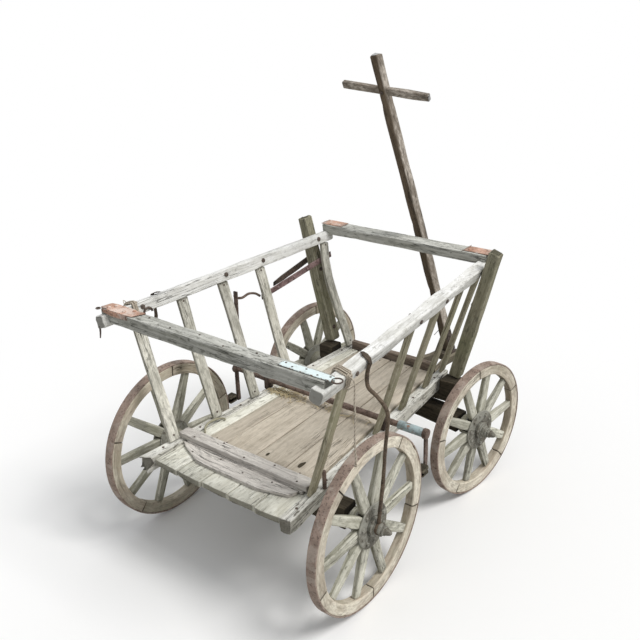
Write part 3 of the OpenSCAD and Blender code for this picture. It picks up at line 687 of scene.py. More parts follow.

# %% [markdown]
# ## Iron, rust, faded paint and twine
# The straps and rods are rusted through, from salmon to near black. The hub plates are worn grey
# iron with rust, darker in their inner corners: painted shade. One strap and the brake's sleeve
# keep a chalky light blue paint that has gone from the edges. The twine is pale, with painted shade
# in the grooves between its strands.

# %% Iron materials


def rusty(name, bright, deep, rub=0.3, bare=(0.30, 0.27, 0.24, 1), bare_share=0.0):
    """Rust between two colours, rubbed to a lighter tone on edges and in patches, and darkened
    where
    the ends fact is high: painted shade in the inner corners of turned shapes, and darker towards
    the ends of flat irons."""
    material, tree, shader = new_material(name)
    shader.inputs["Specular IOR Level"].default_value = 0.3
    where = fact(tree, "grain")["Vector"]
    r = place_group(tree, "rust", {"Where": where, "Bright": bright, "Deep": deep})
    worn = place_group(tree, "edge_wear", {"Where": where, "Edge": fact(tree, "edge")["Fac"],
                                           "Amount": rub})["Mask"]
    patch = place_group(tree, "blotches", {"Where": where, "Size": 17.0,
                                           "From": 0.62 - bare_share * 0.25,
                                           "To": 0.7 - bare_share * 0.2})["Mask"]
    shown = calc(tree, "MAXIMUM", calc(tree, "MULTIPLY", worn, 0.55),
                 calc(tree, "MULTIPLY", patch, bare_share))
    colour = blend_colour(tree, shown, r["Color"], bare)
    # Darkened in the inner corners of turned shapes, a painted shade, and towards the ends of flat
    # irons.
    colour = glaze(tree, colour, fact(tree, "ends")["Fac"], 0.75, shaded(deep, 0.3))
    roughness = between(tree, r["Pits"], 0.0, 1.0, 0.72, 0.95)
    finish_surface(tree, shader, colour, r["Height"], roughness, 0.0012, 0.7)
    return material


rust_red = rusty("rust_red", (0.20, 0.145, 0.122, 1), (0.08, 0.058, 0.048, 1),
                 bare=(0.31, 0.255, 0.225, 1))
rust_rod = rusty("rust_rod", (0.13, 0.10, 0.07, 1), (0.05, 0.039, 0.029, 1),
                 bare=(0.22, 0.185, 0.145, 1))
rust_salmon = rusty("rust_salmon", (0.78, 0.50, 0.385, 1), (0.50, 0.29, 0.205, 1), 0.2,
                    (0.86, 0.77, 0.70, 1), 0.6)
rust_tyre = rusty("rust_tyre", (0.36, 0.275, 0.23, 1), (0.23, 0.175, 0.145, 1), 0.35,
                  (0.50, 0.43, 0.37, 1), 0.5)
rust_pink = rusty("rust_pink", (0.31, 0.21, 0.21, 1), (0.14, 0.09, 0.092, 1), 0.3,
                  (0.42, 0.34, 0.34, 1), 0.35)
iron_dark = rusty("iron_dark", (0.11, 0.085, 0.072, 1), (0.038, 0.033, 0.03, 1), 0.35,
                  (0.22, 0.19, 0.17, 1), 0.3)
iron_hub = rusty("iron_hub", (0.21, 0.21, 0.18, 1), (0.10, 0.099, 0.08, 1), 0.55,
                 (0.44, 0.44, 0.39, 1), 0.55)


def old_paint(name, clean, dirty, chipped):
    """Chalky paint over rust: it has gone from the edges, and dirt lies on it in patches."""
    material, tree, shader = new_material(name)
    where = fact(tree, "grain")["Vector"]
    r = place_group(tree, "rust", {"Where": where})
    chip = place_group(tree, "edge_wear", {"Where": where, "Edge": fact(tree, "edge")["Fac"],
                                           "Amount": chipped})["Mask"]
    dirt = place_group(tree, "blotches", {"Where": where, "Size": 40.0, "From": 0.46,
                                          "To": 0.7})["Mask"]
    colour = blend_colour(tree, chip, blend_colour(tree, dirt, clean, dirty), r["Color"])
    height = calc(tree, "SUBTRACT", r["Height"], chip)
    finish_surface(tree, shader, colour, height, between(tree, chip, 0, 1, 0.5, 0.9), 0.0006)
    return material


paint_blue = old_paint("paint_blue", (0.38, 0.48, 0.50, 1), (0.18, 0.215, 0.215, 1), 0.55)
paint_pale = old_paint("paint_pale", (0.80, 0.92, 0.93, 1), (0.62, 0.71, 0.70, 1), 0.4)
print("irons:", [m.name for m in bpy.data.materials
                 if m.name.startswith(("rust", "iron", "paint"))])

# %% Twine and straw
twine, tree, shader = new_material("twine")
where = fact(tree, "grain")["Vector"]
hairs = noise(tree, stretched(tree, where, (160, 900, 900)), 1.0, 3.0)
# The grooves between the strands are near black and the crests pale: painted shade in the grooves.
low_high = between(tree, fact(tree, "edge")["Fac"], 0.72, 1.0)
colour = blend_colour(tree, low_high, (0.16, 0.13, 0.10, 1), (0.62, 0.56, 0.46, 1))
colour = glaze(tree, colour, hairs, 0.4, (0.40, 0.32, 0.25, 1))
finish_surface(tree, shader, colour, hairs, between(tree, hairs, 0, 1, 0.95, 0.8), 0.0005)

straw, tree, shader = new_material("straw")
where = fact(tree, "grain")["Vector"]
stalk = noise(tree, stretched(tree, where, (40, 300, 300)), 1.0, 3.0)
colour = blend_colour(tree, stalk, (0.42, 0.34, 0.20, 1), (0.66, 0.57, 0.38, 1))
finish_surface(tree, shader, colour, stalk, between(tree, stalk, 0, 1, 0.8, 0.6), 0.0003)
print("materials:", len(bpy.data.materials))

# %% [markdown]
# ## The loose cord
# A thin cord of two twisted strands hangs from a knot on the right top rail. It is limp, so it
# leaves the knot, bends over the rail's edge and then falls straight down. Its route is the one
# its CAD solid has. The twist is a section with two lobes that turns on its way down.

# %% Hanging cord
TWISTED = {"sides": 8, "strands": 2, "pitch": 12}
CORD = [[-104, -438, 806], [-104, -443, 803], [-104, -447, 797], [-105, -449, 788],
        [-106, -449, 776], [-107, -449, 760], [-107, -448, 744], [-106, -448, 728],
        [-105, -448, 712], [-104, -448, 696], [-104, -447, 680], [-105, -447, 664],
        [-106, -447, 648], [-107, -447, 632], [-107, -447, 616], [-106, -447, 600],
        [-105, -447, 584], [-104, -447, 568], [-104, -447, 556]]
cord_line = smooth_path(CORD, 150)
cord_piece = piece("loose_cord", [rod(cord_line, 2.6, seed=2, sides=12, strands=2, pitch=24)],
                   twine, "cart", ["hanging_cord"], sky=0.5, sharp=70)
knot_s = np.linspace(0, 1, 60)
knot_line = np.stack([-104 + 3.4 * np.cos(knot_s * 9.5), -447 + 3.4 * np.sin(knot_s * 9.5),
                      554.5 - 8.5 * knot_s], -1)
core = rod([[-104, -447, 555.9], [-104, -447, 550], [-103.5, -447, 545.5]], 2.2, seed=4, sides=8)
end_knot = piece("cord_end_knot", [rod(knot_line, 1.5, seed=3, **TWISTED, hint=(0, 0.1, 1)), core],
                 twine, "cart", ["cord_end"], sky=0.5, sharp=70)

# %% [markdown]
# ## Two slanting frames of reference
# The bed narrows towards the front, and each ladder side leans outwards. A wheelwright would set
# out each slat along the leaning side, not in the open air. So we do the same: one function gives
# the place of a point on the leaning side, another one on the level bed rail. side is 1 for the
# cart's left and -1 for its right.

# %% Frames of the sides
TAPER, LEAN, STAKE_LEAN = math.radians(4.2), math.radians(17), math.radians(14.5)
BED_REAR, BED_L, BED_HALF_W, RAIL_W, RAIL_TOP, FLOOR = -212.0, 1035.0, 298.0, 38.0, 366.0, 356.0
LADDER_L = (796 - RAIL_TOP) / math.cos(LEAN)


def leaning(u, v, w, side=1, lean=LEAN, origin=(BED_REAR, BED_HALF_W - RAIL_W / 2, RAIL_TOP)):
    """u along the bed, v outwards through the side, w up it; turned by lean, then by taper."""
    y, z = v * math.cos(lean) + w * math.sin(lean), -v * math.sin(lean) + w * math.cos(lean)
    x, y = u * math.cos(TAPER) + y * math.sin(TAPER), -u * math.sin(TAPER) + y * math.cos(TAPER)
    return [origin[0] + x, side * (origin[1] + y), origin[2] + z]


def direction(u, v, w, side=1, lean=LEAN):
    """The same turn without the place: a direction along the leaning side."""
    return leaning(u, v, w, side, lean, (0, 0, 0))


def on_rail(u, v, z, side=1):
    """u along the bed rail's outer face, v outwards from it, z up from the ground."""
    return leaning(u, v, z, side, 0.0, (BED_REAR, BED_HALF_W, 0))


def half_width(x):
    """Half the width between the bed rails at a place along the cart."""
    return BED_HALF_W - RAIL_W / math.cos(TAPER) - 2 - (x - BED_REAR) * math.tan(TAPER)


UP = (0, 0, 1)
print("the floor narrows from", round(2 * half_width(-212)), "to", round(2 * half_width(760)), "mm")

# %% [markdown]
# ## The floor
# Two layers of boards: a grey lower floor that shows at the back, and on it the browner boards of
# the upper floor. Each board is a timber of its own that tapers with the bed, so the joints run
# true. Board ends at the back are weathered to different lengths.

# %% Floor boards


def board_row(x0, x1, low, thick, joints, inset, seed, uneven_ends=6.0, **extra):
    """Boards side by side: each lies between two joints, given as shares of the half width."""
    rng = np.random.default_rng(seed)
    boards = []
    for n, (a, b) in enumerate(zip(joints[:-1], joints[1:])):
        w0, w1 = half_width(x0) - inset, half_width(x1) - inset
        start = x0 + rng.uniform(0, uneven_ends)
        boards.append(timber([[start, (a + b) / 2 * w0, low + thick / 2],
                              [x1, (a + b) / 2 * w1, low + thick / 2]],
                             [(b - a) * w0 - 2.6, (b - a) * w1 - 2.6], thick, UP, seed * 10 + n,
                             **extra))
    return boards


piece("floor_lower", board_row(-212, 763, FLOOR - 22, 22, [-1, -0.62, -0.22, 0.2, 0.6, 1], 0, 21,
                               4.0, corner=2.0, chips=3, ragged=(3, 0), wear=0.7), wood_ledge,
      "cart", ["floor_boards"])
piece("floor_upper", board_row(-38, 761, FLOOR, 14, [-1, -0.52, -0.02, 0.5, 0.8], 3, 22, 2.0,
                               corner=2.0, chips=3, wear=0.8), wood_floor, "cart", ["tray_boards"])
piece("floor_edge_strip", board_row(-38, 761, FLOOR, 14.6, [0.8, 1], 3, 23, 2.0, corner=3.0,
                                    chips=5), wood_ledge, "cart")

# %% [markdown]
# ## Battens across the floor
# A batten closes the upper floor at the back, and its ends lie over the bed rails. Behind it lies
# a pointed board, worn to a long tip at both ends. Its width changes along its length, so it is a
# timber with a list of widths and a centre line that moves with them.

# %% Battens
batten_l = half_width(-38) - 1
tips = np.array([batten_l, batten_l - 30, batten_l - 120, 130 - batten_l, 34 - batten_l,
                 14 - batten_l])
widths = np.array([3, 22, 60, 60, 34, 3.0])
pointed = timber(np.stack([-89 - widths / 2, tips, np.full(6, FLOOR + 6.5)], -1), widths, 13, UP,
                 31, corner=2.5, chips=5, step=16)
under = timber([[-63, -batten_l, FLOOR + 6], [-63, batten_l - 6, FLOOR + 6]], 49.4, 11.6, UP, 34,
               corner=2, chips=3)
over = timber([[-61.8, y, FLOOR + 21.3] for y in (-batten_l - 16.6, 0, batten_l + 35.6)],
              [46.6, 46, 45], [21.2, 21.2, 20], UP, 32, corner=3.2, chips=9, ragged=(4, 6))
piece("batten_pointed", [pointed, under, over], wood_batten, "cart", ["floor_battens"])
front_l = half_width(787) - 1
piece("board_front", [timber([[776, -front_l, 367], [776, front_l, 367]], 22, 66, UP, 33, corner=3,
                             chips=4)], wood_red, "cart", ["front_board"])

# %% [markdown]
# ## Bed rails and top rails
# The two bed rails carry the floor and the slats. The left one has split away at the back. The
# round-edged top rails have lain under rain and sun the longest, and are nearly white on top.

# %% Rails
RAIL_D = 50.0
bed_rails = [timber([on_rail(u, -RAIL_W / 2, RAIL_TOP - RAIL_D / 2, side) for u in (start, BED_L)],
                    RAIL_W, RAIL_D, UP, seed, corner=4, chips=12, ragged=(torn_off, 3))
             for side, start, torn_off, seed in ((1, -24, 34, 41), (-1, 0, 3, 42))]
piece("rails_bed", bed_rails, wood_sill, "cart", ["bed_rails"])
piece("rails_top", [timber([leaning(-18, 0, LADDER_L, s), leaning(1045, 0, LADDER_L, s)], 40, 42,
                           direction(0, 0, 1, s), 44 + s, corner=6.5, chips=9, ragged=(4, 3),
                           wear=1.4, step=22) for s in (1, -1)], wood_bleached, "cart",
      ["top_rails"])

# %% [markdown]
# ## Slats and stakes
# Each slat stands in the leaning side with its flat face inwards. The last one on the left has
# warped into a long curve. The two stakes at the front rise above the rails and are cut off at a
# slant on top.

# %% Slats and stakes
SLAT_PLACES = ((1, (105, 292, 470, 650, 1002)), (-1, (134, 512, 692, 872, 1010)))
slats = []
for side, places in SLAT_PLACES:
    for n, u in enumerate(places):
        bend = -20 if side == 1 and n == 4 else 0
        path = [leaning(u + bend * b, 0, w, side) for w, b in
                ((2.3, 0), (110, 0.45), (215, 0.9), (290, 1), (360, 0.7), (LADDER_L - 21, 0))]
        slats.append(timber(path, 40, 14, direction(0, 1, 0, side), 50 + n + 10 * (side < 0),
                            corner=2.6, chips=5, bow=2.5, step=22))
# The left slats fade on their inner faces, which turn to the sun: bleaching, and partly painted
# light.
piece("slats_left", slats[:5], wood_slat, "cart", ["ladder_slats"],
      sky=[(0, -1, 0.3), (0, 0.6, 0.2)])
# The right slats take the darker copy of the slat wood: painted shade.
piece("slats_right", slats[5:], wood_slat_painted_shade, "cart")

STAKE_X, STAKE_Y, STAKE_FOOT, STAKE_TOP = 768, 277, 377, 876


def on_stake(v, w, side):
    """v outwards through a stake and w up along it, from the middle of its foot."""
    return (np.array([STAKE_X, side * STAKE_Y, STAKE_FOOT])
            + direction(0, v, w, side, STAKE_LEAN))


foot, top = 5.4, (STAKE_TOP - STAKE_FOOT) / math.cos(STAKE_LEAN)
stakes = []
for side in (1, -1):
    path = [on_stake(0, w, side) for w in (foot, top * 0.5, top)]
    stakes.append(timber(path, [44, 44, 41], [44, 44, 40], direction(0, 1, 0, side, STAKE_LEAN),
                         72 + side, corner=3.2, chips=7, end_round=6, ragged=(0, 7)))
piece("stake_pair", stakes, wood_stake, "cart", ["stakes"])

# %% [markdown]
# ## Cross bars
# The rear bar lies over both top rails and sticks out on each side. A splinter has gone from its
# underside. The front bar is broader and lies just ahead of the stakes.

# %% Cross bars
rear_bar_path = [[-176, y, z] for y, z in
                 ((-425, 812), (-228, 812), (-205, 813.5), (-182, 812), (425, 812))]
rear_bar = timber(rear_bar_path, 48, [44, 44, 39, 44, 44], UP, 81, corner=3.2, chips=9, wear=1.5,
                  ragged=(4, 4), step=20)
piece("bar_rear", [rear_bar], wood_bar, "cart", ["rear_crossbar"])
front_bar_path = [[844, y, z] for y, z in ((-350, 824.5), (-300, 824), (350, 824))]
front_bar = timber(front_bar_path, [62, 64, 64], [32, 36, 36], UP, 82, corner=3.2, chips=8,
                   wear=1.4, ragged=(6, 4), step=20)
piece("bar_front", [front_bar], wood_bar, "cart", ["front_crossbar"])

# %% [markdown]
# ## Axles, bolster and reach
# Below the bed, heavy dark timbers carry the load: the rear axle beam, the reach that joins it to
# the front, the bolster with its raised ends, and the front axle beam that turns under it. Their
# near-black colour is painted shade under the bed. The front beam is set out straight and then
# turned about the kingpin, as the cart is parked.

# %% Heavy timbers
piece("beam_rear", [timber([[0, -350, 278.5], [0, 350, 278.5]], 62, 75, UP, 91, corner=5, chips=8),
                    timber([[0, 14 - half_width(0), 325], [0, half_width(0) - 14, 325]], 62, 18, UP,
                           92, corner=3)], wood_shade_and_stain, "cart", ["rear_axle_beam"])
piece("reach", [timber([[31, 0, 304.3], [712, 0, 304.3]], 48, 21.4, UP, 93, corner=3, chips=5)],
      wood_shade_and_stain, "cart", ["reach_pole"])
AXLE_BEAM_W = 64


def across_front(y_from, y_to, z, depth, seed, **extra):
    """A timber that lies across the cart, straight above or below the front axle."""
    return timber([[WHEELBASE, y_from, z], [WHEELBASE, y_to, z]], AXLE_BEAM_W, depth, UP, seed,
                  **extra)


bolster = [across_front(-306, 306, 304.8, 22.4, 94, corner=3, chips=6),
           across_front(-180, 180, 325, 18, 95, corner=2.5)]
bolster += [across_front(s * 242, s * 306, 346.5, 61, 96 + s, corner=3.5, chips=5)
            for s in (1, -1)]
piece("bolster", bolster, wood_shade_and_stain, "cart", ["front_bolster"])
piece("beam_front", [across_front(-350, 350, FRONT_R, 64, 98, corner=5, chips=8)],
      wood_shade_and_stain, "front_carriage", ["front_axle_beam"], move=turned)
HINGE_X, HINGE_Z = 1146, 258
fork = [timber([[776, s * 107, HINGE_Z], [1056, s * 35, HINGE_Z], [1161, s * 35, HINGE_Z]],
               [24, 16.5, 15.5], [34, 34, 30], UP, 100 + s, corner=4, chips=6, end_round=5)
        for s in (1, -1)]
fork.append(timber([[1105, -27, HINGE_Z], [1105, 27, HINGE_Z]], 24, 34, UP, 103, corner=2.5))
piece("fork", fork, wood_dark, "front_carriage", ["fork_arms"], move=turned)

# %% [markdown]
# ## Turntable, kingpin and hinge pin
# Two iron plates slide on each other under the bolster, about a kingpin with a nut below. The
# drawbar's hinge pin has a hexagonal head on one side and a round one on the other.

# %% Turntable and pins
KINGPIN = [WHEELBASE, 0, 0]
ALONG_Y = (0, 1, 0)


def plate(low, high, r, hole):
    """The profile of a round plate with a hole and two bevelled edges, from low to high."""
    return [(hole, low), (r - 1.5, low), (r, low + 1.5), (r, high - 1.5), (r - 1.5, high),
            (hole, high)]


upper_plate = turned_shape(KINGPIN, UP, plate(285.6, 293.6, 92, 6), 72, True, rough=1.2, seed=5)
lower_plate = turned_shape(KINGPIN, UP, plate(277, 285, 92, 11.05), 72, True, rough=1.2, seed=8)
shank = turned_shape(KINGPIN, UP, [(9, 197), (11, 199), (11, 285)], 24, seed=6)
pin_nut = [(18, 198.4), (20, 200.4), (20, 210.4), (18, 212.3)]
piece("turntable_top", [upper_plate, shank, turned_shape(KINGPIN, UP, pin_nut, 6, seed=7)],
      rust_red, "cart", ["turntable_upper"], sky=0.2)
piece("turntable_under", [lower_plate],
      rust_red, "front_carriage", ["turntable_lower"], sky=0.2)
HINGE = [HINGE_X, 0, HINGE_Z]
hexagon = [(15, 43), (16, 44.5), (15.5, 49), (9, 51)]
round_head = [(9, -49), (15, -48), (16, -44.5), (15, -43)]
piece("pin_hinge", [turned_shape(HINGE, ALONG_Y, [(9, -43), (9, 43)], 24, seed=9),
                    turned_shape(HINGE, ALONG_Y, hexagon, 6, seed=10),
                    turned_shape(HINGE, ALONG_Y, round_head, 24, seed=11)],
      iron_dark, "front_carriage", ["hinge_pin"], move=turned)

# %% [markdown]
# ## The drawbar
# The drawbar is parked upright and leans back. It is a square pole, thinner towards the top, with
# a flat handle pushed through it. It is set out in its own frame, whose w runs up the pole.

# %% Drawbar
BAR_LEAN = math.radians(20.5)


def up_pole(fore, left, w):
    """A point in the drawbar's own frame: ahead of the pole, to the left, and up along it."""
    return [HINGE_X + fore * math.cos(BAR_LEAN) - w * math.sin(BAR_LEAN), left,
            HINGE_Z + fore * math.sin(BAR_LEAN) + w * math.cos(BAR_LEAN)]


POLE_AHEAD = (math.cos(BAR_LEAN), 0, math.sin(BAR_LEAN))
POLE_UP = (-math.sin(BAR_LEAN), 0, math.cos(BAR_LEAN))
# The pole's right face, turned to the sun, fades strongly towards a pale colour: partly painted
# light.
SUNLIT_RIGHT_SIDE = (0.3, -0.95, 0)
HANDLE_UP = 1194
piece("pole", [timber([up_pole(0, 0, w) for w in (-18, 0, 200, 1110, 1324)], [30, 37, 37.6, 34, 31],
                      [28, 37, 37.6, 34, 30], POLE_AHEAD, 111, corner=4.0, chips=7, wear=1.2,
                      bow=2.5, end_round=6, ragged=(0, 7), step=24)], wood_brown, "drawbar",
      ["drawbar_pole"], move=turned, sky=SUNLIT_RIGHT_SIDE)
TILT = math.radians(3)
along_handle = [up_pole(0, y * math.cos(TILT), HANDLE_UP + y * math.sin(TILT))
                for y in (-184, -92, 92, 184)]
piece("handle", [timber(along_handle, [17, 20, 20, 18], [25, 28, 28, 26], POLE_UP, 112, corner=4.5,
                        chips=5, wear=1.0, ragged=(3, 3), step=16)], wood_brown, "drawbar",
      ["drawbar_handle"], move=turned, sky=0.75)
pole_irons = [timber([up_pole(0, s * 20.5, 22), up_pole(0, s * 20.5, 130)], 30, 2.8, ALONG_Y,
                     114 + s, corner=1.2) for s in (1, -1)]
pole_irons += [turned_shape(up_pole(0, s * 20.5, 0), ALONG_Y, plate(-1.4, 1.4, 24, 9.1), 40, True,
                            seed=12 + s) for s in (1, -1)]
pole_irons += [bolt(up_pole(0, s * 21.9, w), (0, s, 0), 5.5, 3.2, 8, seed=n)
               for s in (1, -1) for n, w in enumerate((50, 105))]
piece("pole_straps", pole_irons, iron_dark, "drawbar", ["drawbar_irons"], move=turned)
piece("handle_bolt", [bolt(up_pole(-17, 0, HANDLE_UP), [-c for c in POLE_AHEAD], 6, 3.5, 8,
                           seed=3)], iron_dark, "drawbar", move=turned)

# %% [markdown]
# ## Wheels
# A wheelwright's wheel has spokes driven into a nave and into curved felloes, and an iron tyre
# shrunk round them. Each spoke is broad near the hub and slims towards the rim. Every felloe is
# bent timber whose path is an arc, so its grain runs round the wheel as it should. A wheel is made
# about its own centre with y outwards, then moved to its corner; on the right it is turned half
# round the vertical, which keeps every face pointing outwards.

# %% Wheel makers
FELLOES, SPOKES = 5, 10


def round_rim(radius, start, end, count):
    """An arc in the wheel's plane: (radius * cos t, 0, radius * sin t)."""
    t = np.linspace(start, end, count)
    return np.stack([radius * np.cos(t), 0 * t, radius * np.sin(t)], -1)


def felloes(r, seed):
    """Bent timbers end to end round the rim, with a narrow open joint between them."""
    gap = 0.9 / (r - 23)
    return [timber(round_rim(r - 23.5, n * 2 * np.pi / FELLOES + gap,
                             (n + 1) * 2 * np.pi / FELLOES - gap, 40),
                   37, 31.6, ALONG_Y, seed + n, corner=3.2, chips=6, step=11, wear=0.8,
                   end_round=1.2, ragged=(1.2, 1.2)) for n in range(FELLOES)]


def spokes(r, seed):
    """Straight timbers from the nave to the felloes, broad at the nave and slim at the rim."""
    end = r - 42.3
    made_spokes = []
    for n in range(SPOKES):
        t = (n + 0.5) * 2 * np.pi / SPOKES
        out = np.array([math.cos(t), 0, math.sin(t)])
        reach = np.array([30, 62, 84, 150, end])
        made_spokes.append(timber(out * reach[:, None], [15, 35, 35.4, 32, 28],
                                  [21, 21.8, 21.8, 20, 18], ALONG_Y, seed + 10 + n, corner=4.5,
                                  chips=4, step=18, wear=0.7))
    return made_spokes


def hub_irons(seed):
    """The two hub plates and the ring of bolt heads that stands on the outer one."""
    outer = [(12.7, 11.1), (70.5, 11.1), (72, 12.4), (72, 15.4), (70.3, 16.9), (62, 16.9),
             (46, 15.6), (34, 15.4), (30.4, 15.6), (29.6, 17), (29.4, 21), (30, 24), (29.8, 26),
             (28.2, 27), (12.7, 27)]
    inner = [(36.2, -17), (64.5, -17), (66, -15.6), (66, -12.4), (64.6, -11.1), (36.2, -11.1)]
    heads = []
    for n in range(SPOKES):
        t = n * 2 * np.pi / SPOKES
        size, high = (7.2, 5.5) if n % 2 else (5.0, 3.0)
        heads.append(bolt([56 * math.cos(t), 17, 56 * math.sin(t)], ALONG_Y, size, high, 6
                          if n % 2 else 10, seed=seed + n))
    return [turned_shape((0, 0, 0), ALONG_Y, outer, 60, True, rough=1.1, seed=seed),
            turned_shape((0, 0, 0), ALONG_Y, inner, 60, True, rough=0.8, seed=seed + 1)] + heads


def tyre(r, seed):
    """An iron band about the rim, rubbed round at both of its edges."""
    profile = [(r - 5, -15.8), (r - 1.7, -15.8), (r - 0.4, -14.4), (r, -7), (r, 7),
               (r - 0.4, 14.4), (r - 1.7, 15.8), (r - 5, 15.8)]
    return [turned_shape((0, 0, 0), ALONG_Y, profile, 144, True, rough=0.8, seed=seed)]


def at_corner(front, side, parked):
    """Moves a wheel from its own centre to its corner of the cart, turned to where it came to rest:
    the first joint between its felloes is parked degrees up from straight ahead."""
    angle = math.radians(parked if side == 1 else 180 - parked)
    c, s = math.cos(angle), math.sin(angle)

    def move(points):
        p = np.asarray(points, float) @ np.array([[c, 0, s], [0, 1, 0], [-s, 0, c]])
        p = p * [side, side, 1] + [WHEELBASE if front else 0, side * HALF_TRACK, FRONT_R
                                   if front else REAR_R]
        return turned(p) if front else p
    return move


print("a felloe spans", round(math.degrees(2 * math.pi / FELLOES)), "degrees")

# %% Four wheels
NAVE = [(13, -52), (34, -52), (36, -50), (36.5, -20), (40, -10), (40, 11), (13, 11)]
CORNERS = ((False, 1, 12), (False, -1, -18), (True, 1, 15), (True, -1, 22))
for seed, (front, side, parked) in enumerate(CORNERS):
    corner = f"{'front' if front else 'rear'}_{'left' if side == 1 else 'right'}"
    r, body = (FRONT_R if front else REAR_R), "wheel_" + corner
    move = at_corner(front, side, parked)
    # Rims and spokes fade most on their outer faces, and the rims less on their inner faces:
    # bleaching, and partly painted light on the faces the sun reaches.
    piece("rim_" + corner, felloes(r, 200 + 40 * seed), wood_rim, body, ["felloes_" + corner],
          move=move, sky=[(0, side, 0.25), (0, -side * 0.4, 0)])
    nave = turned_shape((0, 0, 0), ALONG_Y, NAVE, 40, True, rough=1.5, seed=60 + seed)
    piece("wheel_spokes_" + corner, spokes(r, 210 + 40 * seed) + [nave], wood_spoke, body,
          ["spokes_" + corner], move=move, sky=(0, side, 0.25))
    piece("hub_" + corner, hub_irons(300 + 20 * seed), iron_hub, body, ["hub_plates_" + corner],
          move=move, sky=0.2)
    piece("iron_tyre_" + corner, tyre(r, 400 + seed), rust_tyre, body, ["tyre_" + corner],
          move=move, sky=0.2)

# %% [markdown]
# ## Axle arms with their nuts
# The arm passes through the hub. Outside it come a washer, a hexagonal nut, a collar or the stay's
# eye, a second nut and a pointed nose. They are all turned shapes; six sides make a nut.

# %% Axle arms


def arm(x, z, side, collar, seed):
    """One end of an axle: heights are measured from the cart's centre plane outwards."""
    axis, at, r = (0, side, 0), [x, 0, z], 24 if collar else 19.4
    washer = [(12.6, 441.7), (r - 1, 441.7), (r, 443), (r - 1, 444.5), (12.6, 444.5)]
    nut = np.array([(19.5, 444.7), (21, 446.5), (21, 453.5), (19.3, 455.6)])
    nut = nut + [0, 0 if collar else 9.2]
    lock_nut = [(15.6, 465), (17, 466.5), (17, 471.5), (15.4, 473)]
    nose = [(13, 473), (12.4, 476), (9.5, 485), (7.4, 490), (4, 493)]
    ring = [(12.6, 455.8), (17, 455.8), (18, 457), (18, 463), (17, 464.4), (12.6, 464.4)]
    parts = [turned_shape(at, axis, [(18, 350), (20, 352), (20, 361)], 32, seed=seed),
             turned_shape(at, axis, [(12.5, 352), (12.5, 474)], 32, seed=seed + 1),
             turned_shape(at, axis, washer, 36, True, seed=seed + 2),
             turned_shape(at, axis, nut, 6, start=0.3, seed=seed + 3),
             turned_shape(at, axis, lock_nut, 6, start=0.7, seed=seed + 4),
             turned_shape(at, axis, nose, 28, rough=0.8, seed=seed + 5)]
    if collar:
        parts.append(turned_shape(at, axis, ring, 32, True, seed=seed + 6))
    return parts


piece("arms_rear", arm(0, REAR_R, 1, False, 500) + arm(0, REAR_R, -1, False, 510), iron_hub, "cart",
      ["rear_axle_iron"], sky=0.2)
piece("arms_front", arm(WHEELBASE, FRONT_R, 1, True, 520) + arm(WHEELBASE, FRONT_R, -1, True, 530),
      iron_hub, "front_carriage", ["front_axle_iron"], move=turned, sky=0.2)

# %% [markdown]
# ## Stay rods
# A rod runs from each top rail outside the rear wheel to an eye on the axle's end, and keeps the
# leaning side from falling outwards. A smith bent it cold, so it is one smooth curve. Its top is
# hammered flat and hooks over the rail.

# %% Stays
STAY_EYE = [(12.7, 445.0), (18.6, 445.0), (20, 446.4), (20, 452), (18.6, 453.4), (12.7, 453.4)]
stays = []
for side in (1, -1):
    route = [[0, 424, 800], [0, 415.5, 771], [0, 414, 742], [0, 420, 724], [0, 442, 710],
             [0, 464, 692], [0, 477, 672], [0, 480, 642], [0, 471, 544], [0, 465, 450],
             [0, 449.3, 297]]
    stays.append(rod(smooth_path(np.array(route) * [1, side, 1], 90), [6, 6, 5.6, 6, 6],
                     seed=600 + side, sides=12, rough=0.7))
    stays.append(turned_shape([0, 0, REAR_R], (0, side, 0), STAY_EYE, 40, True, rough=1.0,
                              seed=610 + side))
    stays.append(timber([[0, side * 425.5, 796], [1, side * 420, 812], [3, side * 407, 819.5],
                         [9, side * 392, 822]], [10, 17, 20, 13], [8, 4.5, 3.6, 3.2],
                        (0, side * 0.5, 0.86), 612 + side, corner=1.4, step=6, end_round=1.0))
piece("stays", stays, rust_rod, "cart", ["stay_rods"], sky=0.3)

# %% [markdown]
# ## The seized brake
# A round shaft lies across the bed, with a hanger and a block at each end. One end still has a
# light blue sleeve. On the left an upright arm, a bent rod, a flat strap and a lever run forward
# along the side. Rust holds it all, so nothing here moves.

